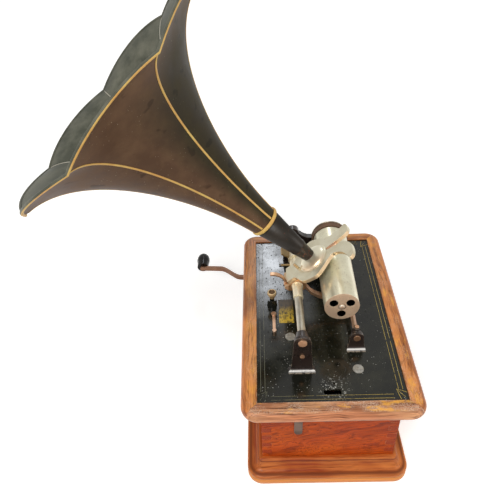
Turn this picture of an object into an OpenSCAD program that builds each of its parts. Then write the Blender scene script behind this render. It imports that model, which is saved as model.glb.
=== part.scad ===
// Cylinder phonograph with an oak case, a spring motor under the bed plate and a panelled horn.
// X runs across the machine, Y along the mandrel away from its free end, Z up from the table.

/* [Case] */
// Outside width of the box
box_w = 166; // [160:1:180]
// Outside length of the box
box_l = 284; // [276:1:300]
// Height of the box walls
box_h = 140; // [134:1:160]
// Thickness of the box walls
wall_t = 12; // [9:0.5:13]
// Fingers in each corner joint
finger_n = 18; // [10:2:24]
// Thickness of the bottom board
floor_t = 8; // [5:0.5:10]
// Height of the base moulding
base_h = 32; // [28:1:38]
// Overhang of the base moulding
base_out = 20; // [16:1:24]

/* [Top frame] */
// Outside width of the top frame
frame_w = 210; // [206:1:224]
// Outside length of the top frame
frame_l = 336; // [330:1:346]
// Thickness of the top frame
frame_t = 15; // [13:0.5:18]
// Corner radius of the top frame
frame_corner_r = 20; // [16:1:24]
// Depth of the rabbet that holds the bed plate
rabbet_d = 5; // [4:0.5:7]
// Width of the bed plate
plate_w = 172; // [168:1:174]
// Length of the bed plate
plate_l = 297; // [292:1:299]
// Thickness of the bed plate
plate_t = 3; // [2:0.5:4]
// Width of the ledge under the bed plate
ledge_w = 12; // [9:0.5:13]

/* [Crank] */
// Distance of the crank shaft from the left side of the case
crank_x = 46; // [44:0.5:50]
// Height of the crank shaft
crank_z = 52; // [50:0.5:60]
// Radius of the crank shaft
crank_shaft_r = 5; // [4:0.25:6]
// Turning radius of the crank
crank_r = 146; // [120:1:150]
// Distance of the inner bar from the rear wall
crank_reach = 35; // [33:0.5:42]
// Offset of the outer bar from the inner bar
crank_offset = 21; // [16:0.5:26]
// Width of the crank bar
crank_bar_w = 7.5; // [4:0.5:9]
// Thickness of the crank bar
crank_bar_t = 4.4; // [3:0.1:6]
// Length of the crank knob
knob_l = 31; // [24:0.5:38]
// Largest radius of the crank knob
knob_r = 11; // [9:0.5:13]

/* [Mandrel] */
// Mandrel axis to the right of the middle
mandrel_x = 18; // [15:0.5:21]
// Mandrel axis above the bed plate
mandrel_rise = 59; // [57:0.5:62]
// Place of the free end
mandrel_y0 = -56; // [-62:1:-50]
// Place of the large end
mandrel_y1 = 74; // [70:1:74]
// Radius of the free end
mandrel_r0 = 21; // [20:0.25:22]
// Radius of the large end
mandrel_r1 = 23; // [22.5:0.25:24]
// Wall of the mandrel shell
mandrel_wall = 3; // [2:0.25:4]
// Radius of the mandrel spindle
spindle_r = 5; // [4:0.25:6]
// Radius of both belt pulleys
pulley_r = 22.2; // [20:0.2:23]
// Width of the belt pulleys
pulley_w = 9.5; // [9:0.5:11]
// Thickness of the belt
belt_t = 1.6; // [1.2:0.1:2]
// Width of the belt
belt_w = 8; // [6:0.5:8.5]

/* [Carriage] */
// Carriage tube axis to the left of the middle
tube_x = 32; // [31:0.25:34]
// Carriage tube axis above the bed plate
tube_rise = 48; // [47:0.25:49]
// Outside radius of the carriage tube
tube_r = 5; // [4.75:0.05:5.2]
// Bore radius of the carriage tube
tube_bore_r = 4; // [3.6:0.1:4.2]
// Outside radius of the carriage sleeve
sleeve_r = 6.4; // [6.2:0.1:6.6]
// Near end of the carriage sleeve
sleeve_y0 = -28; // [-32:0.5:-24]
// Far end of the carriage sleeve
sleeve_y1 = 61; // [59:0.5:62]
// Near end of the carriage block
block_y0 = -4.5; // [-6:0.5:-3]
// Far end of the carriage block
block_y1 = 24; // [22:0.5:26]
// Guide rod axis to the right of the middle
guide_x = 37; // [36:0.25:38]
// Guide rod axis above the bed plate
guide_rise = 19; // [18:0.25:20]
// Radius of the guide rod
guide_r = 3.2; // [2.8:0.1:3.5]

/* [Fork and reproducer] */
// Middle plane of the fork along the mandrel
fork_y = 10; // [8:0.5:12]
// Slope of the fork plate
fork_slope = 40; // [38:0.5:42]
// Distance of the fork plate's top face from the mandrel axis
fork_gap = 36.5; // [35.5:0.25:38]
// Thickness of the fork plate
fork_t = 5; // [4:0.25:5.5]
// Radius of the reproducer dome
dome_r = 37; // [35:0.25:39]
// Depth of the dome's centre below the fork plate's top face
dome_drop = 31.3; // [30.5:0.1:32]
// Radius of a cylinder record on the mandrel
record_r = 27.8; // [27:0.1:28.2]

/* [Horn] */
// Elevation of the horn
horn_tilt = 45.2; // [42:0.2:47]
// Outside radius of the neck's spigot
neck_r = 8; // [7:0.25:9]
// Length of the neck from its end to the band
neck_l = 82; // [70:1:90]
// Radius of the horn at the band
band_r = 18.3; // [16:0.1:20]
// Distance from the neck's end to the seam ends at the mouth
horn_l = 304; // [280:1:320]
// Radius of the mouth at the seams
mouth_r = 141; // [130:1:160]
// Panels in the bell
panel_n = 7; // [6:1:9]
// How far a panel's edge stands past its seams
petal_l = 8.5; // [4:0.5:12]
// Thickness of the horn's sheet
sheet_t = 0.8; // [0.6:0.1:1.2]
// Radius of the rolled rim
rim_r = 1.8; // [1.4:0.1:2.4]
// Width of the seam ribs
rib_w = 2.6; // [2:0.1:3.4]

/* [Motor] */
// Radius of the spring barrel
barrel_r = 30; // [26:0.5:31]
// Length of the spring barrel
barrel_l = 44; // [38:0.5:48]
// Tooth size of the motor gears
motor_mod = 1; // [1:0.05:1.05]
// Bearing of the second arbor from the spring barrel
train_angle = 10; // [5:1:14]
// Thickness of the motor plates
motor_t = 3; // [2:0.25:4]
// Coils of the mainspring
spring_n = 7; // [4:1:8]

/* [Fits] */
// Running clearance of a shaft in its bore
run_gap = 0.05; // [0.03:0.01:0.08]
// Gap between moving faces
move_gap = 0.3; // [0.25:0.05:0.5]
// Gap between seated pieces
seat_gap = 0.1; // [0.05:0.05:0.15]

/* [Hidden] */
$fn = 64;

oak = [0.62, 0.36, 0.20];
black = [0.10, 0.10, 0.10];
nickel = [0.74, 0.71, 0.64];
cream = [0.80, 0.76, 0.64];
brass = [0.72, 0.55, 0.25];
copper = [0.72, 0.45, 0.28];
steel = [0.55, 0.55, 0.56];
enamel = [0.20, 0.17, 0.14];
gold = [0.85, 0.68, 0.35];
hide = [0.35, 0.22, 0.13];

// Levels
plate_z = box_h + frame_t - rabbet_d;
top_z = plate_z + plate_t;
mandrel_z = top_z + mandrel_rise;
tube_z = top_z + tube_rise;
guide_z = top_z + guide_rise;

// Hinge line of the top frame, just outside the rear wall
hinge_r = 3;
hinge_y = box_l / 2 + hinge_r + 0.5;
hinge_z = box_h - hinge_r - 0.5;
hinge_pin_r = 1.2;
hinge_xs = [-52, 52];
hinge_w = 30;
knuckle_n = 3;
leaf_t = 1.2;
leaf_l = 15;

// Crank
rear_y = box_l / 2;
shaft_x = crank_x - box_w / 2;
crank_bar_y = rear_y + crank_reach;
crank_end_y = rear_y - wall_t - 12;
dog_w = 3;
dog_l = 3;
dog_slack = 1.1;
knob_pin_r = 3;
crank_rest = 4.2;

// Places along the mandrel behind its large end
pulley_y0 = mandrel_y1 + 1;
pulley_y1 = pulley_y0 + pulley_w;
flange_t = 1.2;
bracket_y0 = 97;
bracket_y1 = 106;
tube_seat = 5;
guide_seat = 6;
gear_y0 = bracket_y1 + 0.5;
gear_w = 3.5;
stud_r = 3;

// Feed train between the mandrel and the tube, with two equal idlers that hang below their line
feed_mod = 0.9;
mandrel_teeth = 10;
idler_teeth = 40;
feed_teeth = 10;
mesh_gap = 0.35;
feed_c = [-tube_x, tube_z];
mandrel_c = [mandrel_x, mandrel_z];
feed_span = norm(feed_c - mandrel_c);
feed_way = (feed_c - mandrel_c) / feed_span;
feed_down = [-feed_way[1], feed_way[0]];
idler_mesh = mesh(idler_teeth, idler_teeth, feed_mod);
idler_in = (feed_span - idler_mesh) / 2;
idler_drop = sqrt(pow(mesh(mandrel_teeth, idler_teeth, feed_mod), 2) - idler_in * idler_in);
right_c = mandrel_c + idler_in * feed_way + idler_drop * feed_down;
left_c = right_c + idler_mesh * feed_way;

// Motor train
barrel_teeth = 60;
second_pinion = 12;
second_teeth = 48;
pulley_pinion = 12;
governor_teeth = 36;
governor_pinion = 12;
barrel_c = [shaft_x, crank_z];
second_c = barrel_c + mesh(barrel_teeth, second_pinion, motor_mod) * [cos(train_angle), sin(train_angle)];
drive_reach = mesh(second_teeth, pulley_pinion, motor_mod);
drive_c = [mandrel_x, second_c[1] + sqrt(drive_reach * drive_reach - pow(mandrel_x - second_c[0], 2))];
belt_drop = mandrel_z - drive_c[1];
governor_angle = -28;
governor_c = drive_c + mesh(governor_teeth, governor_pinion, motor_mod) * [cos(governor_angle), sin(governor_angle)];
motor_back = 18;
motor_l = 132;
motor_side = 4;
motor_y1 = rear_y - wall_t - motor_back;
motor_y0 = motor_y1 - motor_l;
motor_w = box_w - 2 * wall_t - 2 * motor_side;
motor_z0 = floor_t + 12;
barrel_y1 = motor_y1 - motor_t - 2;
barrel_y0 = barrel_y1 - barrel_l;
barrel_gear_y = barrel_y0 - 6;
second_wheel_y = barrel_gear_y - 9;
governor_gear_y = second_wheel_y - 9;
arbor_r = 2.5;
governor_y1 = governor_gear_y + 7;
governor_drop = 20;

// Fork plate, a sloping plane at a set distance from the mandrel axis
fork_n = [-sin(fork_slope), cos(fork_slope)];
fork_x0 = -9;
fork_z0 = mandrel_z + (fork_gap - (fork_x0 - mandrel_x) * fork_n[0]) / fork_n[1];
dome_s = -3.7;
dome_y = -1.5;
horn_drop = 9.8;
horn_x = fork_x0 + dome_s * cos(fork_slope) + horn_drop * sin(fork_slope);
horn_z = fork_z0 + dome_s * sin(fork_slope) - horn_drop * cos(fork_slope);
neck_in = 12;
spigot_l = 5;
stylus_s = (mandrel_x - fork_x0) * cos(fork_slope) + (mandrel_z - fork_z0) * sin(fork_slope);
rock_gap = 0.9;
stylus_pivot_s = -18;
stylus_pivot_z = -fork_t - 3.2;

// Horn curve, a cubic from the band to the mouth in (distance, radius)
horn_d0 = [neck_l, band_r];
horn_d1 = [neck_l + 0.4 * (horn_l - neck_l), band_r + 0.067 * (mouth_r - band_r)];
horn_d2 = [neck_l + 0.944 * (horn_l - neck_l), band_r + 0.437 * (mouth_r - band_r)];
horn_d3 = [horn_l, mouth_r];
horn_rows = 16;
panel_cols = 6;
rim_cols = panel_n * panel_cols;
panel_bulge = 0.01;
first_seam = -91.9;
rib_gap = 0.3;
rib_h = 1.3;

// Geometry helpers
function mesh(a, b, m) = (a + b) * m / 2 + mesh_gap;
function bearing(p, q) = atan2(q[1] - p[1], q[0] - p[0]);
function horn_at(u) = pow(1 - u, 3) * horn_d0 + 3 * u * pow(1 - u, 2) * horn_d1
    + 3 * u * u * (1 - u) * horn_d2 + pow(u, 3) * horn_d3;
function horn_way(u) = let (v = 3 * pow(1 - u, 2) * (horn_d1 - horn_d0) + 6 * u * (1 - u) * (horn_d2 - horn_d1)
    + 3 * u * u * (horn_d3 - horn_d2)) v / norm(v);
function horn_out(u) = let (v = horn_way(u)) [-v[1], v[0]];
// A point of the bell: u along the curve, column k round the mouth, h out from the sheet
function bell_w(k) = 2 * (k % panel_cols) / panel_cols - 1;
function bell_rise(k) = 1 - pow(bell_w(k), 2);
function bell_tr(u, k, h) = horn_at(u) + h * horn_out(u)
    + bell_rise(k) * [petal_l * pow(u, 4), panel_bulge * u * mouth_r];
function bell_point(u, k, h) = let (q = bell_tr(u, k, h), a = first_seam + 360 * k / rim_cols)
    [q[1] * cos(a), q[1] * sin(a), q[0]];
function catmull(p0, p1, p2, p3, t) = 0.5 * (2 * p1 + (p2 - p0) * t + (2 * p0 - 5 * p1 + 4 * p2 - p3) * t * t
    + (3 * p1 - p0 - 3 * p2 + p3) * t * t * t);
function smooth(pts, n) = [for (i = [0:len(pts) - 2], j = [0:n - 1])
    catmull(pts[max(i - 1, 0)], pts[i], pts[i + 1], pts[min(i + 2, len(pts) - 1)], j / n)];
function flip(pts) = [for (i = [len(pts) - 1:-1:0]) [pts[i][0], -pts[i][1]]];

// A 2-D shape drawn in X and Z, carried along Y
module slab(y0, y1) {
    translate([0, y1, 0]) rotate([90, 0, 0]) linear_extrude(y1 - y0) children();
}
module bar_y(c, y0, y1, r) {
    translate([c[0], y0, c[1]]) rotate([-90, 0, 0]) cylinder(r = r, h = y1 - y0);
}
module disc_at(c, r) {
    translate(c) circle(r = r);
}
module toothed(teeth, m) {
    r = teeth * m / 2;
    step = 360 / teeth;
    polygon([for (i = [0:teeth - 1], p = [[-0.36, -1.2], [-0.15, 0.85], [0.15, 0.85], [0.36, -1.2]])
        let (a = (i + p[0]) * step, q = r + p[1] * m) q * [cos(a), sin(a)]]);
}
// A gear round the axis c, turned so that a tooth or a gap points along the bearing a
module gear_y(c, teeth, m, y0, y1, a, gap_there) {
    slab(y0, y1) translate(c) rotate(a + (gap_there ? 180 / teeth : 0)) toothed(teeth, m);
}
module slotted_screw(head_r, head_h, shank_r, shank_l) {
    difference() {
        union() {
            cylinder(r = head_r, h = head_h);
            translate([0, 0, -shank_l]) cylinder(r = shank_r, h = shank_l);
        }
        translate([-head_r, -head_r * 0.1, head_h * 0.5]) cube([2 * head_r, head_r * 0.2, head_h]);
    }
}
module fork_frame() {
    translate([fork_x0, fork_y, fork_z0]) rotate([0, -fork_slope, 0]) children();
}
module horn_frame() {
    translate([horn_x - neck_in * cos(horn_tilt), fork_y, horn_z + neck_in * sin(horn_tilt)])
        rotate([0, horn_tilt - 90, 0]) children();
}

// Case
base_profile = concat([[0, 0], [base_out, 0], [base_out, 0.22 * base_h], [base_out - 1, 0.24 * base_h],
    [base_out - 1, 0.27 * base_h]],
    [for (a = [-60:15:75]) [base_out - 3.2 + 3.2 * cos(a), 0.37 * base_h + 0.1 * base_h * sin(a)]],
    [for (a = [10:16:90]) [base_out * (0.8 - 0.52 * sin(a)), base_h * (0.86 - 0.36 * cos(a))]],
    [[base_out * 0.24, 0.9 * base_h], [base_out * 0.24, 0.96 * base_h], [base_out * 0.14, base_h], [0, base_h]]);
module base_strip(l) {
    rotate([90, 0, 0]) translate([0, 0, -l / 2]) linear_extrude(l) polygon(base_profile);
}
module base_moulding() {
    color(oak) union() {
        for (s = [0, 180]) rotate(s) {
            translate([box_w / 2, 0, 0]) base_strip(box_l);
            translate([0, box_l / 2, 0]) rotate(90) base_strip(box_w);
            translate([box_w / 2, box_l / 2, 0]) rotate_extrude(angle = 90) polygon(base_profile);
            translate([-box_w / 2, box_l / 2, 0]) rotate(90) rotate_extrude(angle = 90) polygon(base_profile);
        }
    }
}
module bottom_board() {
    w = box_w - 2 * wall_t;
    l = box_l - 2 * wall_t;
    color(oak) translate([-w / 2, -l / 2, 0]) cube([w, l, floor_t]);
}
// Fingers of one corner, every second one starting at the given index
module fingers(start, gap) {
    h = box_h / finger_n;
    for (i = [start:2:finger_n - 1])
        translate([-wall_t / 2, -wall_t / 2, i * h - gap])
            cube([wall_t, wall_t, h + 2 * gap]);
}
module corners_at() {
    for (x = [-1, 1], y = [-1, 1])
        translate([x * (box_w - wall_t) / 2, y * (box_l - wall_t) / 2, 0]) children();
}
module end_panel(side) {
    intersection() {
        difference() {
            translate([-box_w / 2, side * (box_l - wall_t) / 2 - wall_t / 2, 0]) cube([box_w, wall_t, box_h]);
            corners_at() fingers(1, 0);
        }
        translate([-box_w, side > 0 ? 0 : -box_l, 0]) cube([2 * box_w, box_l, box_h]);
    }
}
module side_panel(side) {
    x = side * (box_w - wall_t) / 2;
    color(oak) union() {
        translate([x - wall_t / 2, -box_l / 2 + wall_t, 0]) cube([wall_t, box_l - 2 * wall_t, box_h]);
        for (y = [-1, 1]) translate([x, y * (box_l - wall_t) / 2, 0]) fingers(1, 0);
    }
}
// Catch slot in the near end panel
latch_x = -38.2;
latch_z = box_h - 31.6;
latch_w = 10;
latch_t = 2;
latch_drop = 25;
latch_slot_h = 2.6;
latch_travel = 10;
latch_hook_t = 1.4;
module front_panel() {
    color(oak) difference() {
        end_panel(-1);
        translate([latch_x - latch_w / 2 - latch_travel - move_gap, -box_l / 2 - 1, latch_z])
            cube([latch_w + latch_travel + 2 * move_gap, wall_t + 2, latch_slot_h]);
    }
}
module rear_panel() {
    color(oak) difference() {
        end_panel(1);
        bar_y([shaft_x, crank_z], rear_y - wall_t - 1, rear_y + 1, crank_shaft_r + 2.5);
    }
}
module left_panel() {
    side_panel(-1);
}
module right_panel() {
    side_panel(1);
}
module crank_bush() {
    color(steel) difference() {
        union() {
            bar_y([shaft_x, crank_z], rear_y, rear_y + 2, crank_shaft_r + 11);
            bar_y([shaft_x, crank_z], rear_y - wall_t, rear_y + 6, crank_shaft_r + 2.5 - seat_gap);
        }
        bar_y([shaft_x, crank_z], rear_y - wall_t - 1, rear_y + 7, crank_shaft_r + run_gap);
    }
}

// Hinges
knuckle_w = hinge_w / knuckle_n;
module knuckle(x, i, gap) {
    translate([x - hinge_w / 2 + i * knuckle_w + gap, hinge_y, hinge_z]) rotate([0, 90, 0])
        cylinder(r = hinge_r, h = knuckle_w - 2 * gap);
}
module case_hinge_leaves() {
    color(brass) for (x = hinge_xs) union() {
        for (i = [0, knuckle_n - 1]) {
            knuckle(x, i, 0);
            translate([x - hinge_w / 2 + i * knuckle_w, rear_y, hinge_z - leaf_l])
                cube([knuckle_w, leaf_t, leaf_l]);
            translate([x - hinge_w / 2 + i * knuckle_w, rear_y, hinge_z - hinge_r])
                cube([knuckle_w, hinge_y - rear_y, hinge_r]);
        }
        translate([x - hinge_w / 2, rear_y, hinge_z - leaf_l]) cube([hinge_w, leaf_t, leaf_l - hinge_r - 1]);
        translate([x - hinge_w / 2, hinge_y, hinge_z]) rotate([0, 90, 0]) cylinder(r = hinge_pin_r, h = hinge_w);
    }
}
module lid_hinge_leaves() {
    color(brass) for (x = hinge_xs) difference() {
        union() {
            knuckle(x, 1, move_gap);
            translate([x - knuckle_w / 2 + move_gap, hinge_y, box_h - leaf_t])
                cube([knuckle_w - 2 * move_gap, leaf_l, leaf_t]);
            translate([x - knuckle_w / 2 + move_gap, hinge_y, hinge_z])
                cube([knuckle_w - 2 * move_gap, hinge_r, box_h - hinge_z]);
        }
        translate([x - hinge_w / 2, hinge_y, hinge_z]) rotate([0, 90, 0])
            cylinder(r = hinge_pin_r + run_gap, h = hinge_w);
    }
}

// Catch in a slot of the near end panel, with its tongue outside and its hook inside
module latch_slide() {
    y_out = -box_l / 2 - move_gap;
    y_in = -box_l / 2 + wall_t + move_gap;
    z0 = latch_z + move_gap;
    h = latch_slot_h - 2 * move_gap;
    r = latch_w / 2;
    color(steel) translate([latch_x, 0, 0]) union() {
        slab(y_out - latch_t, y_out) {
            translate([-r, latch_z - latch_drop + r]) square([latch_w, latch_drop - r + latch_slot_h]);
            disc_at([0, latch_z - latch_drop + r], r);
        }
        translate([-r, y_out - latch_t, z0]) cube([latch_w, y_in - y_out + latch_t + 1, h]);
        translate([-r, y_in, z0]) cube([latch_w, latch_hook_t, box_h - z0 - 1]);
    }
}

// Crank, drawn level and then turned up to its rest
module crank_turned() {
    translate([shaft_x, 0, crank_z]) rotate([0, crank_rest, 0]) translate([-shaft_x, 0, -crank_z]) children();
}
module crank_arm() {
    x_in = shaft_x;
    x_out = shaft_x - crank_r;
    x_bend0 = x_in - 0.54 * crank_r;
    x_bend1 = x_in - 0.78 * crank_r;
    y_in = crank_bar_y;
    y_out = crank_bar_y + crank_offset;
    t = crank_bar_t;
    c = [shaft_x, crank_z];
    bend = [for (i = [0:12]) let (f = i / 12, s = f * f * (3 - 2 * f))
        [x_bend0 + f * (x_bend1 - x_bend0), y_in + s * crank_offset]];
    color(copper) crank_turned() union() {
        difference() {
            bar_y(c, crank_end_y, y_in, crank_shaft_r);
            for (s = [-1, 1])
                translate([c[0] + s * (dog_w / 2 + crank_shaft_r) - crank_shaft_r, crank_end_y - 1,
                    c[1] - crank_shaft_r]) cube([2 * crank_shaft_r, dog_l + 1, 2 * crank_shaft_r]);
        }
        translate([0, 0, crank_z - crank_bar_w / 2]) linear_extrude(crank_bar_w)
            polygon(concat([[x_in, y_in - t / 2]], [for (p = bend) p - [0, t / 2]], [[x_out, y_out - t / 2]],
                [[x_out, y_out + t / 2]], [for (i = [12:-1:0]) bend[i] + [0, t / 2]], [[x_in, y_in + t / 2]]));
        bar_y(c, y_in - t / 2, y_in + t / 2, crank_shaft_r + 1.5);
        bar_y([x_out, crank_z], y_out - t / 2, y_out + t / 2, knob_pin_r + 1.2);
        bar_y([x_out, crank_z], y_out, y_out + t / 2 + knob_l + 1.5, knob_pin_r);
    }
}
module crank_knob() {
    y0 = crank_bar_y + crank_offset + crank_bar_t / 2 + move_gap;
    color(black) crank_turned() translate([shaft_x - crank_r, y0, crank_z]) rotate([-90, 0, 0]) difference() {
        rotate_extrude() polygon(concat([[0, 0], [0.84 * knob_r, 0], [0.86 * knob_r, 0.1 * knob_l]],
            [for (a = [-30:12:78]) [0.4 * knob_r + 0.6 * knob_r * cos(a), knob_l * (0.58 + 0.42 * sin(a))]],
            [[0, knob_l]]));
        translate([0, 0, -1]) cylinder(r = knob_pin_r + run_gap, h = knob_l + 2);
    }
}

// Top frame, four mitred rails with a half-round edge
nose_r = frame_t / 2;
module rail(half_a, half_b) {
    c = frame_corner_r;
    in_b = half_b - frame_w / 2 + plate_w / 2 - ledge_w;
    arc = c - nose_r;
    k = half_b - c - in_b;
    translate([0, 0, box_h]) union() {
        linear_extrude(frame_t) polygon([[-(half_a - c) + k, -in_b], [half_a - c - k, -in_b],
            [half_a - c, -half_b + c], [half_a - c, -half_b + nose_r],
            [-(half_a - c), -half_b + nose_r], [-(half_a - c), -half_b + c]]);
        translate([-(half_a - c), -half_b + nose_r, nose_r]) rotate([0, 90, 0])
            cylinder(r = nose_r, h = 2 * (half_a - c));
        for (s = [0, 1]) mirror([s, 0, 0]) translate([half_a - c, -half_b + c, 0]) rotate(-90)
            rotate_extrude(angle = 45) union() {
                square([arc, frame_t]);
                intersection() {
                    translate([arc, nose_r]) circle(r = nose_r);
                    square([c, frame_t]);
                }
            }
    }
}
module plate_rabbet() {
    g = seat_gap;
    translate([-plate_w / 2 - g, -plate_l / 2 - g, plate_z]) cube([plate_w + 2 * g, plate_l + 2 * g, rabbet_d + 1]);
}
module frame_front() {
    color(oak) difference() {
        rail(frame_w / 2, frame_l / 2);
        plate_rabbet();
    }
}
module frame_rear() {
    color(oak) difference() {
        rotate(180) rail(frame_w / 2, frame_l / 2);
        plate_rabbet();
    }
}
module frame_left() {
    color(oak) difference() {
        rotate(-90) rail(frame_l / 2, frame_w / 2);
        plate_rabbet();
    }
}
module frame_right() {
    color(oak) difference() {
        rotate(90) rail(frame_l / 2, frame_w / 2);
        plate_rabbet();
    }
}

// Bed plate and what stands on it
start_slot = [1, -134, 20, 7];
oil_hole = [4, -122, 1.6];
screw_at = [[35, -103], [-43, -49], [mandrel_x, 20], [mandrel_x, 55]];
screw_r = 6.4;
speed_at = [-64.5, motor_y0 + 31];
stop_at = [-63, motor_y0 + 11];
stop_l = 31;
front_y0 = -102;
front_y1 = -88;
front_foot_w = 32;
front_body_w = 26;
front_top_w = 20.2;
front_boss_r = 8.4;
front_screw_drop = 23;
guide_y0 = -70.5;
guide_y1 = -58;
guide_foot_w = 23;
guide_body_w = 20.5;
guide_top_w = 17;
guide_boss_r = 8;
pedestal_face_t = 4;
pedestal_wall = 2;
foot_flare = 6;
foot_t = 3;
module belt_slots(margin) {
    for (s = [-1, 1]) translate([mandrel_x + s * (pulley_r + move_gap + belt_t / 2) - belt_t / 2 - margin,
        pulley_y0 + pulley_w / 2 - belt_w / 2 - margin, plate_z - 1])
        cube([belt_t + 2 * margin, belt_w + 2 * margin, plate_t + 2]);
}
module bed_plate() {
    color(black) difference() {
        translate([-plate_w / 2, -plate_l / 2, plate_z]) cube([plate_w, plate_l, plate_t]);
        translate([start_slot[0] - start_slot[2] / 2, start_slot[1] - start_slot[3] / 2, plate_z - 1])
            cube([start_slot[2], start_slot[3], plate_t + 2]);
        translate([oil_hole[0], oil_hole[1], plate_z - 1]) cylinder(r = oil_hole[2], h = plate_t + 2);
        for (p = screw_at) translate([p[0], p[1], plate_z - 1]) cylinder(r = 2.5 + run_gap, h = plate_t + 2);
        translate([speed_at[0], speed_at[1], plate_z - 1]) cylinder(r = 3 + run_gap, h = plate_t + 2);
        translate([stop_at[0], stop_at[1], plate_z - 1]) cylinder(r = 2 + run_gap, h = plate_t + 2);
        belt_slots(3);
    }
}
module bed_screws() {
    color(steel) for (p = screw_at) translate([p[0], p[1], top_z])
        slotted_screw(screw_r, 1.6, 2.5, plate_t + 1);
}
// A face with a round head, a web and a collar behind it that narrow to the back, and a foot that flares forwards
module pedestal(c, y0, y1, foot_w, body_w, top_w, boss_r, bore_r) {
    shift = top_w / 2 - boss_r;
    back_r = bore_r + pedestal_wall;
    flare = [for (i = [0:6]) let (a = 15 * i) [foot_flare * (1 - sin(a)), foot_flare * (1 - cos(a))]];
    difference() {
        union() {
            slab(y0, y0 + pedestal_face_t) {
                polygon([[c[0] - body_w / 2, top_z], [c[0] + body_w / 2, top_z], [c[0] + top_w / 2, c[1]],
                    [c[0] + shift, c[1] + boss_r], [c[0] - shift, c[1] + boss_r], [c[0] - top_w / 2, c[1]]]);
                disc_at(c + [shift, 0], boss_r);
                disc_at(c - [shift, 0], boss_r);
            }
            translate([c[0], y0 + pedestal_face_t, c[1]]) rotate([-90, 0, 0])
                cylinder(r1 = boss_r, r2 = back_r, h = y1 - y0 - pedestal_face_t);
            slab(y0, y1) polygon([[c[0] - back_r - 2, top_z], [c[0] + back_r + 2, top_z], [c[0] + back_r, c[1]],
                [c[0] - back_r, c[1]]]);
            intersection() {
                translate([c[0] + foot_w / 2, y0, top_z]) rotate([90, 0, -90]) linear_extrude(foot_w)
                    polygon(concat([[-pedestal_face_t, 0], [foot_flare, 0]], flare, [[-pedestal_face_t, foot_flare]]));
                slab(y0 - foot_flare, y0 + pedestal_face_t) polygon([[c[0] - foot_w / 2, top_z],
                    [c[0] + foot_w / 2, top_z], [c[0] + foot_w / 2, top_z + 1], [c[0] + body_w / 2 + 0.6, top_z + 2.6],
                    [c[0] + body_w / 2, top_z + foot_flare], [c[0] - body_w / 2, top_z + foot_flare],
                    [c[0] - body_w / 2 - 0.6, top_z + 2.6], [c[0] - foot_w / 2, top_z + 1]]);
            }
        }
        bar_y(c, y0 - 1, y1 + 1, bore_r);
    }
}
module front_pedestal() {
    c = [-tube_x, tube_z];
    color(black) difference() {
        pedestal(c, front_y0, front_y1, front_foot_w, front_body_w, front_top_w, front_boss_r, tube_r + run_gap);
        bar_y([c[0], tube_z - front_screw_drop], front_y0 - 1, front_y0 + 8, 2);
    }
}
module guide_pedestal() {
    c = [guide_x, guide_z];
    color(black) difference() {
        union() {
            pedestal(c, guide_y0, guide_y1, guide_foot_w, guide_body_w, guide_top_w, guide_boss_r, guide_r + run_gap);
            translate([c[0], guide_y1 - 5, c[1]]) cylinder(r = 4, h = 11.5);
        }
        bar_y(c, guide_y0 - 1, guide_y1 + 1, guide_r + run_gap);
        translate([c[0], guide_y1 - 5, c[1] + 7]) cylinder(r = 1.5 + run_gap, h = 6);
    }
}
// The near outline shows a boss with an ear over the tube, a dip, and the mandrel bearing behind the pulley
ear_r = 8.8;
ear_rise = 7.2;
bearing_r = 8.5;
module rear_bracket() {
    t = feed_c;
    m = mandrel_c;
    g = [guide_x, guide_z];
    thick = bracket_y1 - bracket_y0;
    color(black) difference() {
        union() {
            slab(bracket_y0, bracket_y1) {
                polygon([[t[0] - 14, top_z], [g[0] + 10, top_z], [g[0] + 5, g[1] + 8], [m[0] + bearing_r, m[1]],
                    [m[0] - bearing_r, m[1]], [m[0] - 13, m[1] - 6], [m[0] - 21, m[1] - 11.5], [t[0] + 21, t[1] - 0.5],
                    [t[0] + 14.5, t[1] + 2.6], [t[0] + ear_r, t[1] + ear_rise], [t[0] - ear_r, t[1] + ear_rise],
                    [t[0] - ear_r - 1, t[1]]]);
                disc_at(t + [0, ear_rise], ear_r);
                disc_at(m, bearing_r);
                disc_at(g, 7);
            }
            translate([t[0] - 20, bracket_y0 - 4, top_z]) cube([g[0] - t[0] + 36, thick + 8, foot_t]);
            for (c = [right_c, left_c]) bar_y(c, bracket_y1 - 1, gear_y0 + gear_w + 1.5, stud_r);
        }
        bar_y(t, bracket_y0 - 1, bracket_y0 + tube_seat, tube_r + run_gap);
        bar_y(t, bracket_y0, bracket_y1 + 1, stud_r + run_gap);
        bar_y(m, bracket_y0 - 1, bracket_y1 + 1, spindle_r + run_gap);
        bar_y(g, bracket_y0 - 5, bracket_y0 + guide_seat, guide_r + run_gap);
    }
}
module carriage_tube() {
    color(nickel) difference() {
        bar_y(feed_c, front_y0, bracket_y0 + tube_seat - seat_gap, tube_r);
        bar_y(feed_c, front_y0 - 1, bracket_y1, tube_bore_r);
        translate([-tube_x - 1.3, front_y1 + 6, tube_z - tube_r - 1]) cube([2.6, bracket_y0 - front_y1 - 12, tube_r]);
    }
}
module guide_rod() {
    color(nickel) bar_y([guide_x, guide_z], guide_y0, bracket_y0 + guide_seat - seat_gap, guide_r);
}
module pedestal_screws() {
    color(copper) {
        translate([-tube_x, front_y0 - seat_gap, tube_z]) rotate([90, 0, 0]) {
            cylinder(r = 5.2, h = 1.4);
            translate([0, 0, -5]) cylinder(r = 2.5, h = 6);
        }
        translate([-tube_x, front_y0 - seat_gap, tube_z - front_screw_drop]) rotate([90, 0, 0])
            slotted_screw(2.8, 1.4, 2 - run_gap, 7);
        translate([guide_x, guide_y0 - seat_gap, guide_z]) rotate([90, 0, 0]) cylinder(r = 4.2, h = 1.2);
        translate([guide_x, guide_y1 - 5, guide_z + 11.5 + seat_gap]) slotted_screw(2.6, 1.2, 1.5, 4);
    }
}

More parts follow.
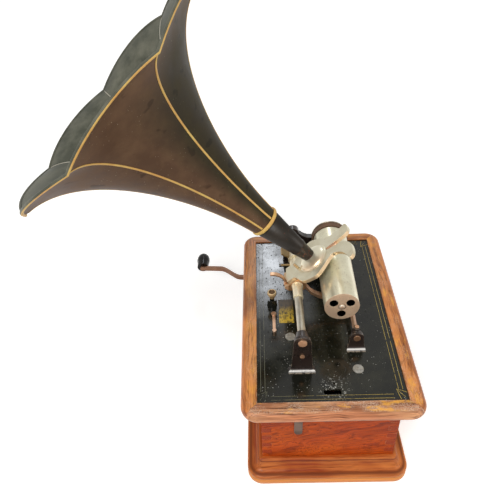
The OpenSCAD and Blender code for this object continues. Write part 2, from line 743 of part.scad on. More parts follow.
// Speed knob and stop lever
module speed_collar() {
    color(black) translate([speed_at[0], speed_at[1], top_z]) difference() {
        cylinder(r1 = 7, r2 = 5.5, h = 10);
        translate([0, 0, -1]) cylinder(r = 3 + run_gap, h = 12);
    }
}
module speed_knob() {
    color(brass) translate([speed_at[0], speed_at[1], top_z]) union() {
        translate([0, 0, -plate_t - 6]) cylinder(r = 3, h = plate_t + 18);
        translate([0, 0, 10 + move_gap]) cylinder(r1 = 4, r2 = 5.8, h = 3);
        translate([0, 0, 13 + move_gap]) cylinder(r = 5.8, h = 9);
        translate([0, 0, 22 + move_gap]) cylinder(r1 = 5.8, r2 = 4.6, h = 1.6);
    }
}
module stop_lever() {
    color(nickel) translate([stop_at[0], stop_at[1], top_z + move_gap]) union() {
        translate([0, 0, -plate_t - 8]) cylinder(r = 2, h = plate_t + 9);
        cylinder(r = 3.6, h = 3);
        translate([-2, -stop_l, 0]) cube([4, stop_l, 2]);
        translate([0, -stop_l, 0]) cylinder(r = 2.8, h = 4);
    }
}

// Belt and motor
module loop_2d(r) {
    disc_at(mandrel_c, r);
    disc_at(drive_c, r);
    translate([mandrel_x - r, drive_c[1]]) square([2 * r, belt_drop]);
}
module drive_belt() {
    y0 = pulley_y0 + pulley_w / 2 - belt_w / 2;
    color(hide) slab(y0, y0 + belt_w) difference() {
        loop_2d(pulley_r + move_gap + belt_t);
        loop_2d(pulley_r + move_gap);
    }
}
module motor_plate(y0) {
    difference() {
        union() {
            slab(y0, y0 + motor_t) translate([-motor_w / 2, motor_z0]) square([motor_w, plate_z - motor_z0]);
            translate([-motor_w / 2, y0 - 8, plate_z - 3]) cube([motor_w, 8, 3]);
        }
        for (c = [second_c, drive_c, governor_c]) bar_y(c, y0 - 1, y0 + motor_t + 1, arbor_r + run_gap);
        bar_y(barrel_c, y0 - 9, y0 + motor_t + 1, crank_shaft_r + run_gap);
    }
}
// The near plate carries a long foot with a lug for the far end of the governor
module motor_plate_front() {
    color(steel) union() {
        motor_plate(motor_y0);
        translate([governor_c[0] - 5, motor_y0 + motor_t - 0.5, governor_c[1] - governor_drop - 6])
            cube([10, governor_y1 - motor_y0 - motor_t + 3.5, 6]);
        difference() {
            translate([governor_c[0] - 5, governor_y1, governor_c[1] - governor_drop - 3])
                cube([10, 3, governor_drop + 8]);
            bar_y(governor_c, governor_y1 - 1, governor_y1 + 4, arbor_r + run_gap);
        }
    }
}
module motor_plate_rear() {
    color(steel) motor_plate(motor_y1 - motor_t);
}
pillar_in = 5.5;
pillar_x = motor_w / 2 - pillar_in;
pillar_z0 = motor_z0 + pillar_in - 1;
pillar_z1 = plate_z - 18;
pillar_at = [[-pillar_x, pillar_z0], [pillar_x, pillar_z0], [-pillar_x, pillar_z1], [pillar_x, pillar_z1]];
module motor_pillars() {
    color(steel) for (c = pillar_at) bar_y(c, motor_y0 + motor_t, motor_y1 - motor_t, 4);
}
module spring_barrel() {
    a = bearing(barrel_c, second_c);
    color(brass) difference() {
        union() {
            bar_y(barrel_c, barrel_y0, barrel_y1, barrel_r);
            gear_y(barrel_c, barrel_teeth, motor_mod, barrel_gear_y, barrel_gear_y + 5, a, false);
            bar_y(barrel_c, barrel_gear_y, barrel_y0 + 1, barrel_r - 6);
        }
        bar_y(barrel_c, barrel_y0 + 2, barrel_y1 - 2, barrel_r - 2);
        bar_y(barrel_c, barrel_gear_y - 1, barrel_y1 + 1, crank_shaft_r + run_gap);
    }
}
module mainspring() {
    r0 = 12;
    r1 = barrel_r - 2 - seat_gap;
    t = 0.8;
    n = 24 * spring_n;
    y0 = barrel_y0 + 3;
    color(steel) slab(y0, barrel_y1 - 3) translate(barrel_c) polygon(concat(
        [for (i = [0:n]) (r0 + (r1 - r0) * i / n) * [cos(15 * i), sin(15 * i)]],
        [for (i = [n:-1:0]) (r0 + (r1 - r0) * i / n - t) * [cos(15 * i), sin(15 * i)]]));
}
module winding_arbor() {
    y1 = crank_end_y + dog_l - move_gap;
    color(steel) difference() {
        union() {
            bar_y(barrel_c, motor_y0, y1, crank_shaft_r);
            bar_y(barrel_c, barrel_y0 + 3, barrel_y1 - 3, 10);
            gear_y(barrel_c, 20, motor_mod, motor_y1 + 1, motor_y1 + 3, 0, false);
        }
        crank_turned() translate([barrel_c[0] - dog_w / 2 - dog_slack, crank_end_y - move_gap,
            barrel_c[1] - 2 * crank_shaft_r]) cube([dog_w + 2 * dog_slack, dog_l + 2, 4 * crank_shaft_r]);
    }
}
module second_arbor() {
    color(brass) union() {
        bar_y(second_c, motor_y0, motor_y1, arbor_r);
        gear_y(second_c, second_pinion, motor_mod, barrel_gear_y - 2, barrel_y0 - move_gap, bearing(second_c, barrel_c), true);
        gear_y(second_c, second_teeth, motor_mod, second_wheel_y, second_wheel_y + 4, bearing(second_c, drive_c), false);
    }
}
module pulley_arbor() {
    color(brass) union() {
        bar_y(drive_c, motor_y0, motor_y1, arbor_r);
        gear_y(drive_c, pulley_pinion, motor_mod, second_wheel_y - 1, second_wheel_y + 6, bearing(drive_c, second_c), true);
        gear_y(drive_c, governor_teeth, motor_mod, governor_gear_y, governor_gear_y + 4, governor_angle, false);
    }
}
module drive_pulley() {
    color(steel) difference() {
        bar_y(drive_c, pulley_y0, pulley_y1, pulley_r);
        bar_y(drive_c, pulley_y0 - 1, pulley_y1 + 1, arbor_r + run_gap);
    }
}
module governor_spindle() {
    color(brass) union() {
        bar_y(governor_c, motor_y0, governor_y1 + 3, arbor_r);
        gear_y(governor_c, governor_pinion, motor_mod, governor_gear_y - 1, governor_gear_y + 6, governor_angle + 180, true);
        bar_y(governor_c, motor_y0 + motor_t + 5, motor_y0 + motor_t + 7, 13);
    }
}
module governor_weights() {
    y0 = motor_y0 + motor_t + 7;
    color(brass) for (a = [0:120:240])
        translate([governor_c[0] + 9 * cos(a), y0 + 8, governor_c[1] + 9 * sin(a)]) rotate([-90, 0, 0]) union() {
            cylinder(r = 4.5, h = 6);
            translate([0, 0, -8]) cylinder(r = 1.2, h = 20);
        }
}

// Mandrel
hole_r = 5.2;
hole_pcd = 11.5;
module mandrel_shell() {
    l = mandrel_y1 - mandrel_y0;
    dr = (mandrel_r1 - mandrel_r0) / l;
    end_t = 5;
    color(nickel) translate([mandrel_x, mandrel_y0, mandrel_z]) rotate([-90, 0, 0]) difference() {
        cylinder(r1 = mandrel_r0, r2 = mandrel_r1, h = l);
        translate([0, 0, end_t]) cylinder(r1 = mandrel_r0 - mandrel_wall, r2 = mandrel_r1 - mandrel_wall, h = l - 2 * end_t);
        translate([0, 0, -1]) cylinder(r = spindle_r + run_gap, h = l + 2);
        for (a = [30, 150, 270]) translate([hole_pcd * cos(a), -hole_pcd * sin(a), -1]) cylinder(r = hole_r, h = end_t + 2);
    }
}
module mandrel_spindle() {
    color(steel) union() {
        bar_y(mandrel_c, mandrel_y0 + 0.5, bracket_y1, spindle_r);
        bar_y(mandrel_c, bracket_y1 - 1, gear_y0 + gear_w + 1.5, stud_r);
        gear_y(mandrel_c, mandrel_teeth, feed_mod, gear_y0, gear_y0 + gear_w, bearing(mandrel_c, right_c), false);
    }
}
module mandrel_pulley() {
    color(nickel) difference() {
        bar_y(mandrel_c, pulley_y0, pulley_y1, pulley_r);
        bar_y(mandrel_c, pulley_y0 - 1, pulley_y1 + 1, spindle_r + run_gap);
    }
}
module pulley_flange() {
    color(nickel) difference() {
        bar_y(mandrel_c, pulley_y1 + seat_gap, pulley_y1 + seat_gap + flange_t, pulley_r + move_gap + belt_t + 0.5);
        bar_y(mandrel_c, pulley_y1 - 1, pulley_y1 + 3, spindle_r + run_gap);
    }
}
// Each gear meets the one before it with a gap where that gear's nearest tooth then stands
right_turn = bearing(right_c, mandrel_c) + 180 / idler_teeth;
left_turn = bearing(left_c, right_c) + 180 / idler_teeth + bearing(right_c, left_c) - right_turn;
feed_turn = bearing(feed_c, left_c) + 180 / feed_teeth
    + (bearing(left_c, feed_c) - left_turn) * idler_teeth / feed_teeth;
module idler(c, turn) {
    color(steel) difference() {
        gear_y(c, idler_teeth, feed_mod, gear_y0, gear_y0 + gear_w, turn, false);
        bar_y(c, gear_y0 - 1, gear_y0 + gear_w + 1, stud_r + run_gap);
    }
}
module idler_right() {
    idler(right_c, right_turn);
}
module idler_left() {
    idler(left_c, left_turn);
}
module feed_screw() {
    color(steel) union() {
        bar_y(feed_c, front_y1, bracket_y0 + tube_seat - move_gap, tube_bore_r - 0.6);
        bar_y(feed_c, bracket_y0, gear_y0 + gear_w + 1.5, stud_r);
        gear_y(feed_c, feed_teeth, feed_mod, gear_y0, gear_y0 + gear_w, feed_turn, false);
    }
}

// Carriage
module carriage_sleeve() {
    color(nickel) difference() {
        union() {
            bar_y(feed_c, sleeve_y0, sleeve_y1, sleeve_r - run_gap);
            bar_y(feed_c, block_y0 - move_gap - 2, block_y0 - move_gap, sleeve_r + 1);
            bar_y(feed_c, block_y1 + move_gap, block_y1 + collar_l, sleeve_r + 1);
            bar_y(feed_c, sleeve_y1 - pad_l, sleeve_y1, pad_collar_r);
        }
        bar_y(feed_c, sleeve_y0 - 1, sleeve_y1 + 1, tube_r + run_gap);
        translate([-tube_x - 1.1, fork_y - 5, tube_z - sleeve_r - 3]) cube([2.2, 10, sleeve_r]);
        pad_frame() translate([pad_collar_r - 2, 0, 0]) rotate([0, 90, 0]) cylinder(r = 0.8 + run_gap, h = 4);
        collar_pin(run_gap);
    }
}
// A thumb piece stands out from the far collar of the sleeve, and a pin from the near one
pad_l = 14;
pad_angle = 150;
pad_reach = 21;
pad_t = 2.4;
pad_collar_r = 9;
collar_l = 17;
pin_r = 1.5;
pin_reach = 19.5;
module pad_frame() {
    translate([-tube_x, sleeve_y1 - pad_l / 2, tube_z]) rotate([0, -pad_angle, 0]) children();
}
module collar_pin(gap) {
    translate([-tube_x - sleeve_r + 0.5 + gap, block_y1 + collar_l - 4, tube_z]) rotate([0, -90, 0])
        cylinder(r = pin_r + gap, h = pin_reach - sleeve_r + gap);
}
module feed_nut() {
    color(brass) {
        translate([-tube_x - 1, fork_y - 4, tube_z - sleeve_r]) cube([2, 8, sleeve_r - tube_bore_r + 0.2]);
        pad_frame() union() {
            translate([pad_collar_r + seat_gap, -pad_l / 2, -pad_t / 2]) cube([pad_reach - pad_collar_r - seat_gap, pad_l, pad_t]);
            translate([pad_collar_r - 1.5, 0, 0]) rotate([0, 90, 0]) cylinder(r = 0.8, h = 3);
        }
        collar_pin(0);
    }
}
// Carriage block with a top that lies under the fork plate
block_w0 = 16;
block_w1 = 11;
module carriage_block() {
    a = fork_slope;
    under = fork_z0 - fork_t / cos(a) - seat_gap;
    x0 = -tube_x - block_w0;
    x1 = -tube_x + block_w1;
    color(cream) difference() {
        intersection() {
            slab(block_y0, block_y1) polygon([[x0, tube_z - 7], [x0 + 5, tube_z - 8.4], [x1 - 3, tube_z - 8.4], [x1, tube_z - 6],
                [x1, under + (x1 - fork_x0) * tan(a)], [x0, under + (x0 - fork_x0) * tan(a)]]);
            linear_extrude(2 * tube_z) polygon([[x0 - 1, block_y1 + 1], [x0 - 1, lever_y0 - 3.2], [x0, lever_y0 - 3.2],
                [x0 + 6.5, block_y0 - 1], [x1 + 1, block_y0 - 1], [x1 + 1, block_y1 + 1]]);
        }
        bar_y(feed_c, block_y0 - 1, block_y1 + 1, sleeve_r);
        translate([-tube_x - 3, fork_y - 6, tube_z - 20]) cube([6, 12, 20]);
        translate([x0 - 1, lever_y0 - 0.6, 0]) cube([6, lever_w + 1.2, 2 * tube_z]);
        bar_y([lever_x, lever_z], lever_y0 - 3, lever_y0 + lever_w + 3, 1.4 + run_gap);
    }
}
arm_w = 7;
arm_y = block_y0 + arm_w / 2;
module guide_arm() {
    x1 = -tube_x + block_w1 + seat_gap;
    z1 = tube_z - 5;
    saddle = guide_r + move_gap;
    mid = smooth([[x1, z1 + 1], [x1 + 3.5, z1 - 3.5], [x1 + 7, z1 - 8.5], [x1 + 13, guide_z + 11], [x1 + 20, guide_z + 7.2],
        [x1 + 31, guide_z + 5.2], [guide_x - 9, guide_z + 4.6], [guide_x + 8, guide_z + 4.6]], 6);
    half = 2.6;
    color(copper) difference() {
        slab(arm_y - arm_w / 2, arm_y + arm_w / 2) union() {
            polygon(concat([for (p = mid) p - [0, half]], [for (i = [len(mid) - 1:-1:0]) mid[i] + [0, half]]));
            translate([guide_x, guide_z - 2]) square([6.5, 8.8]);
        }
        bar_y([guide_x, guide_z], arm_y - arm_w, arm_y + arm_w, saddle);
        translate([guide_x - saddle, arm_y - arm_w, guide_z - 20]) cube([2 * saddle, 2 * arm_w, 20]);
    }
}
// Outline of the lyre in (slope, half width), from the block round the tip to the crotch; the near tip is hooked
lyre_body = [[-47.5, 11.6], [-47, 13], [-40, 13.3], [-35, 13.8], [-30, 20], [-25, 27.4], [-21, 30.9], [-14, 32.8],
    [-6, 34.4], [-1, 33.6]];
lyre_slit = [[35.3, 3.7], [28, 2.9], [21, 2.5], [17.8, 1.6], [16.6, 0]];
lyre_near = concat(lyre_body, [[5, 30.2], [11.5, 24.7], [19, 18], [25.3, 15.3], [32, 17.5], [39.4, 24.7], [43.6, 33],
    [45.4, 38], [46.8, 39.9], [48.8, 39.4], [51.5, 36.4], [53, 29], [52, 17.6], [47, 9.5], [42, 5.6]], lyre_slit);
lyre_far = concat(lyre_body, [[5, 30.6], [11.5, 26.4], [18, 22.2], [24, 20.3], [30, 20.2], [37, 21.2], [43, 22.6],
    [46.8, 24.4], [49.4, 24.2], [51.6, 20], [52.3, 14], [50.6, 8.2], [47, 5.6], [42, 4.6]], lyre_slit);
module lyre_2d() {
    polygon(concat(smooth(lyre_far, 5), flip(smooth(lyre_near, 5))));
}
module lyre_fork() {
    color(cream) fork_frame() difference() {
        translate([0, 0, -fork_t]) linear_extrude(fork_t) lyre_2d();
        translate([dome_s, dome_y, -fork_t - 1]) cylinder(r = 14, h = fork_t + 2);
        translate([fork_pin_at[0], fork_pin_at[1], -fork_t - 1]) cylinder(r = 1.2 + run_gap, h = fork_t + 2);
        translate([25.8, -20, -fork_t / 2]) rotate([-90, 0, 0]) cylinder(r = 1.3, h = 12);
    }
}
fork_pin_at = [-27.5, -1.5];
fork_pin_h = 8.5;
dome_foot_r = sqrt(dome_r * dome_r - dome_drop * dome_drop);
dome_wall = 2;
module reproducer_dome() {
    color(cream) difference() {
        fork_frame() translate([dome_s, dome_y, 0]) difference() {
            union() {
                intersection() {
                    translate([0, 0, -dome_drop]) sphere(r = dome_r);
                    translate([-2 * dome_r, -2 * dome_r, seat_gap]) cube(4 * dome_r);
                }
                translate([0, 0, seat_gap]) cylinder(r = dome_foot_r + 1, h = 1.2);
            }
            intersection() {
                translate([0, 0, -dome_drop]) sphere(r = dome_r - dome_wall);
                translate([-2 * dome_r, -2 * dome_r, -1]) cube(4 * dome_r);
            }
            translate([0, 0, -1]) cylinder(r = dome_foot_r - dome_wall, h = 3);
        }
        horn_frame() translate([0, 0, -neck_in]) cylinder(r = neck_r + run_gap, h = 4 * neck_in);
    }
}
module diaphragm() {
    color(steel) fork_frame() translate([dome_s, dome_y, seat_gap]) union() {
        cylinder(r = dome_foot_r - dome_wall - seat_gap, h = 0.8);
        difference() {
            cylinder(r = dome_foot_r - dome_wall - seat_gap, h = 1.6);
            translate([0, 0, -1]) cylinder(r = dome_foot_r - dome_wall - 3.5, h = 5);
        }
    }
}
module block_screws() {
    color(brass) fork_frame() translate([fork_pin_at[0], fork_pin_at[1], seat_gap])
        slotted_screw(1.8, fork_pin_h, 1.2, fork_t - 0.5);
}
// Thumb lever in a notch of the block's left side, a strip bent to a quarter circle
lever_x = -tube_x - block_w0 + 1.6;
lever_z = tube_z - 4;
lever_y0 = 1.5;
lever_w = 5.5;
lever_arc = 17;
lever_t = 2;
module lift_lever() {
    color(copper) union() {
        slab(lever_y0, lever_y0 + lever_w) union() {
            intersection() {
                translate([lever_x - lever_arc, lever_z]) difference() {
                    circle(r = lever_arc + lever_t / 2);
                    circle(r = lever_arc - lever_t / 2);
                }
                translate([lever_x - lever_arc - 3, lever_z]) square([2 * lever_arc, 2 * lever_arc]);
            }
            disc_at([lever_x, lever_z], 2.6);
        }
        bar_y([lever_x, lever_z], lever_y0 - 2.6, lever_y0 + lever_w + 2.6, 1.4);
    }
}

// Stylus lever below the diaphragm
module stylus_lever() {
    tip = fork_gap - record_r - move_gap;
    color(steel) fork_frame() union() {
        translate([stylus_pivot_s, 5, stylus_pivot_z]) rotate([90, 0, 0]) cylinder(r = 1.4, h = 10);
        translate([stylus_pivot_s, -1.5, stylus_pivot_z - 0.8]) cube([stylus_s - stylus_pivot_s + 2, 3, 1.6]);
        translate([dome_s, 0, stylus_pivot_z]) cylinder(r = 0.8, h = -stylus_pivot_z - rock_gap);
        translate([stylus_s, 0, -tip]) cylinder(r1 = 0.3, r2 = 0.9, h = tip + stylus_pivot_z);
    }
}

// Horn
module horn_neck() {
    l = neck_l - seat_gap;
    color(enamel) horn_frame() rotate_extrude() polygon([[neck_r, 0], [neck_r, spigot_l], [band_r, l],
        [band_r - sheet_t, l], [neck_r - sheet_t, spigot_l], [neck_r - sheet_t, 0]]);
}
bell_us = [for (i = [0:horn_rows]) i / horn_rows];
module horn_bell() {
    c = rim_cols;
    rows = horn_rows + 1;
    outer = [for (u = bell_us, k = [0:c - 1]) bell_point(u, k, 0)];
    inner = [for (u = bell_us, k = [0:c - 1]) bell_point(u, k, -sheet_t)];
    n = rows * c;
    faces = concat(
        [for (i = [0:rows - 2], k = [0:c - 1]) each let (a = i * c + k, b = i * c + (k + 1) % c)
            [[a, a + c, b + c], [a, b + c, b]]],
        [for (i = [0:rows - 2], k = [0:c - 1]) each let (a = n + i * c + k, b = n + i * c + (k + 1) % c)
            [[a, b + c, a + c], [a, b, b + c]]],
        [for (k = [0:c - 1]) each let (j = (k + 1) % c) [[k, j, n + j], [k, n + j, n + k]]],
        [for (k = [0:c - 1]) each let (j = (k + 1) % c, e = (rows - 1) * c)
            [[e + k, n + e + j, e + j], [e + k, n + e + k, n + e + j]]]);
    color(enamel) horn_frame() polyhedron(concat(outer, inner), faces);
}
// One seam rib, a flat bar laid along the outside of a seam
module seam_rib(k) {
    a = first_seam + 360 * k / rim_cols;
    side = [-sin(a), cos(a), 0] * rib_w / 2;
    us = [for (i = [1:horn_rows]) bell_us[i] - 0.25 / horn_rows];
    rows = len(us);
    pts = [for (u = us) each [bell_point(u, k, rib_gap) - side, bell_point(u, k, rib_gap) + side,
        bell_point(u, k, rib_gap + rib_h) + side, bell_point(u, k, rib_gap + rib_h) - side]];
    e = 4 * (rows - 1);
    faces = concat([for (i = [0:rows - 2], j = [0:3]) each let (p = 4 * i + j, q = 4 * i + (j + 1) % 4)
        [[p, q + 4, p + 4], [p, q, q + 4]]], [[0, 2, 1], [0, 3, 2]], [[e, e + 1, e + 2], [e, e + 2, e + 3]]);
    polyhedron(pts, faces);
}
band_h = 4.4;
band_t = 1.7;
module horn_ribs() {
    color(gold) horn_frame() {
        for (i = [0:panel_n - 1]) seam_rib(i * panel_cols);
        slope0 = (band_r - neck_r) / (neck_l - spigot_l);
        rotate_extrude() polygon([[band_r - slope0 * band_h / 2 + 0.15, neck_l - band_h / 2], [band_r + 0.2, neck_l],
            [band_r + 0.2 + 0.2 * band_h / 2, neck_l + band_h / 2], [band_r + band_t * 0.7, neck_l + band_h / 2],
            [band_r + band_t, neck_l + band_h / 4], [band_r + band_t, neck_l - band_h / 4],
            [band_r + band_t * 0.7, neck_l - band_h / 2]]);
    }
}
module horn_rim() {
    sides = 8;
    way = horn_way(1);
    off = rim_r + seat_gap;
    pts = [for (k = [0:rim_cols - 1], j = [0:sides - 1])
        let (q = bell_tr(1, k, -sheet_t / 2) + off * way + rim_r * [cos(360 * j / sides), sin(360 * j / sides)],
             a = first_seam + 360 * k / rim_cols)
        [q[1] * cos(a), q[1] * sin(a), q[0]]];
    faces = [for (k = [0:rim_cols - 1], j = [0:sides - 1]) each
        let (k1 = (k + 1) % rim_cols, j1 = (j + 1) % sides,
             p = k * sides + j, q = k1 * sides + j, r = k1 * sides + j1, s = k * sides + j1)
        [[p, r, q], [p, s, r]]];
    color(gold) horn_frame() polyhedron(pts, faces);
}

base_moulding();
bottom_board();
front_panel();
rear_panel();
left_panel();
right_panel();
crank_bush();
case_hinge_leaves();
latch_slide();
crank_arm();
crank_knob();
frame_front();
frame_rear();
frame_left();
frame_right();
bed_plate();
bed_screws();
lid_hinge_leaves();
front_pedestal();
guide_pedestal();
rear_bracket();
carriage_tube();
guide_rod();
pedestal_screws();
drive_belt();
speed_collar();
speed_knob();
stop_lever();
motor_plate_front();
motor_plate_rear();
motor_pillars();
spring_barrel();
mainspring();
winding_arbor();
second_arbor();
pulley_arbor();
drive_pulley();
governor_spindle();
governor_weights();
mandrel_shell();
mandrel_spindle();
mandrel_pulley();
pulley_flange();
idler_right();
idler_left();
feed_screw();
carriage_sleeve();
feed_nut();
carriage_block();
guide_arm();
lyre_fork();
reproducer_dome();
diaphragm();
block_screws();
lift_lever();
stylus_lever();
horn_neck();
horn_bell();
horn_ribs();
horn_rim();
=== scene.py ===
import math

import bmesh
import bpy
import numpy as np
from mathutils import Matrix, Vector


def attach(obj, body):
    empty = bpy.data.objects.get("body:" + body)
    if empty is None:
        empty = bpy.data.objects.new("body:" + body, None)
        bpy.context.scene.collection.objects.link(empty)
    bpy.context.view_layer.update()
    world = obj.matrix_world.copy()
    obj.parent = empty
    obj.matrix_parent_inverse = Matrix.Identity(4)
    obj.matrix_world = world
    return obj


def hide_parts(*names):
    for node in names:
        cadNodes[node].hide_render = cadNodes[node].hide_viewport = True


# Cylinder phonograph: oak case, black bed plate, nickel mandrel, lyre fork and panelled horn
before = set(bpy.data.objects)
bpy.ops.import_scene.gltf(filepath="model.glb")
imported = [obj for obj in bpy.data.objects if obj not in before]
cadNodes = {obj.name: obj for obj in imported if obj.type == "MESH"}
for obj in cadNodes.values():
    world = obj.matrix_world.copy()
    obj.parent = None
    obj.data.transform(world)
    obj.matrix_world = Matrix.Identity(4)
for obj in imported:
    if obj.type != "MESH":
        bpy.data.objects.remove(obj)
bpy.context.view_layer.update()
print("frame loaded", len(cadNodes), "nodes")
mm = 0.001
fullTurn = 2 * math.pi


# A colour given as seen on a screen, turned into linear light
def tone(red, green, blue):
    seen = np.array([red, green, blue]) / 255.0
    light = np.where(seen <= 0.04045, seen / 12.92, ((seen + 0.055) / 1.055) ** 2.4)
    return (*light.tolist(), 1.0)


# Node helpers
def startMaterial(name):
    mat = bpy.data.materials.new(name)
    mat.use_nodes = True
    tree = mat.node_tree
    tree.nodes.clear()
    out = tree.nodes.new("ShaderNodeOutputMaterial")
    shader = tree.nodes.new("ShaderNodeBsdfPrincipled")
    tree.links.new(shader.outputs["BSDF"], out.inputs["Surface"])
    return mat, tree, shader


def put(tree, socket, value):
    if isinstance(value, bpy.types.NodeSocket):
        tree.links.new(value, socket)
    else:
        socket.default_value = value


def add(tree, kind, inputs, **props):
    made = tree.nodes.new(kind)
    for key, value in props.items():
        setattr(made, key, value)
    for key, value in inputs.items():
        put(tree, made.inputs[key], value)
    return made


def calc(tree, operation, *values):
    made = add(tree, "ShaderNodeMath", dict(enumerate(values)), operation=operation)
    return made.outputs[0]


def times(tree, *values):
    result = values[0]
    for value in values[1:]:
        result = calc(tree, "MULTIPLY", result, value)
    return result


def blend(tree, factor, first, second, mode="MIX"):
    made = add(tree, "ShaderNodeMix", {}, data_type="RGBA", blend_type=mode)
    for index, value in ((0, factor), (6, first), (7, second)):
        put(tree, made.inputs[index], value)
    return made.outputs[2]


def split(tree, vector):
    return add(tree, "ShaderNodeSeparateXYZ", {0: vector}).outputs


def combine(tree, x, y, z):
    return add(tree, "ShaderNodeCombineXYZ", {0: x, 1: y, 2: z}).outputs[0]


def vectorMath(tree, operation, *values):
    made = add(tree, "ShaderNodeVectorMath", dict(enumerate(values)), operation=operation)
    gives = "Value" if operation in ("DISTANCE", "DOT_PRODUCT", "LENGTH") else "Vector"
    return made.outputs[gives]


def objectCoords(tree):
    return tree.nodes.new("ShaderNodeTexCoord").outputs["Object"]


def faceNormal(tree):
    return tree.nodes.new("ShaderNodeNewGeometry").outputs["Normal"]


def stretch(tree, vector, scale, shift=(0.0, 0.0, 0.0)):
    return add(tree, "ShaderNodeMapping", {"Vector": vector, "Scale": scale, "Location": shift}).outputs[0]


def noise(tree, vector, scale=1.0, detail=3.0, rough=0.55, warp=0.0):
    made = add(tree, "ShaderNodeTexNoise", {"Vector": vector, "Scale": scale, "Detail": detail,
                                            "Roughness": rough, "Distortion": warp})
    return made.outputs[0]


def ramp(tree, factor, low, high, start=0.0, end=1.0):
    made = add(tree, "ShaderNodeMapRange", {"Value": factor, "From Min": low, "From Max": high,
                                            "To Min": start, "To Max": end}, clamp=True)
    return made.outputs[0]


# Noise cut to a mask with soft edges
def patches(tree, vector, scale, detail, low, high):
    return ramp(tree, noise(tree, vector, scale, detail), low, high)


# Small round dots, one in each cell that a per-cell number lets through
def dots(tree, vector, scale, size, share, core=0.6, step=0.01):
    cells = add(tree, "ShaderNodeTexVoronoi", {"Vector": vector, "Scale": scale})
    chance = split(tree, cells.outputs["Color"])[0]
    near = ramp(tree, cells.outputs["Distance"], size, size * core)
    return times(tree, near, ramp(tree, chance, 1.0 - share, 1.0 - share + step))


def bump(tree, height, strength, distance, under):
    inputs = {"Height": height, "Strength": strength, "Distance": distance, "Normal": under}
    return add(tree, "ShaderNodeBump", inputs).outputs[0]


def roundEdge(tree, radius):
    return add(tree, "ShaderNodeBevel", {"Radius": radius}, samples=4).outputs[0]


# How far a softened normal leans away from the face, which picks out the edges
def edgeMask(tree, rounded, strength):
    agree = vectorMath(tree, "DOT_PRODUCT", rounded, faceNormal(tree))
    return ramp(tree, calc(tree, "SUBTRACT", 1.0, agree), 0.0, 1.0 / strength)


# Grain noises are (scale along, scale across, detail, roughness), and patches (scale, detail, low, high)
woodSet = {"wander": (13.0, 24.0, 2.0, 0.5), "bands": (5.0, 125.0, 4.0, 0.62),
           "streaks": (15.0, 430.0, 3.0, 0.6), "pores": (60.0, 1700.0, 2.0, 0.5),
           "broad": (10.0, 30.0, 3.0, 0.55), "blotch": (42.0, 95.0, 3.0, 0.6), "bandEdge": (0.34, 0.58),
           "lightEdge": (0.46, 0.68), "lightShare": 0.65, "streakEdge": (0.53, 0.66),
           "poreEdge": (0.56, 0.68), "poreShare": 0.5, "topEdge": (0.9, 0.99), "blotchEdge": (0.56, 0.66),
           "wornPatch": (48.0, 3.0, 0.4, 0.62), "wornGrit": (620.0, 2.0, 0.44, 0.58),
           "stainReach": (0.012, 0.05), "stainBlur": 0.12, "grooveShadeReach": (0.0003, 0.001),
           "grooveShade": 0.8, "footReach": (0.0075, 0.0165), "endEdge": (0.85, 0.97),
           "endGrit": (900.0, 2.0, 0.4, 0.6), "chipSharp": 4.0, "chipGrit": (150.0, 3.0, 0.5, 0.6),
           "noiseMiddle": 0.5, "roughEdge": (0.3, 0.7), "roughLess": 0.08, "roughMore": 0.1,
           "coatRough": 0.2, "bump": 0.3, "bumpDepth": 0.0004}


# Noise drawn out along the grain
def grainNoise(tree, vector, kind, shift, fine=1.0):
    long, across, detail, rough = woodSet[kind]
    scale = (long, across * fine, across * fine)
    return noise(tree, stretch(tree, vector, scale, shift), 1.0, detail, rough)
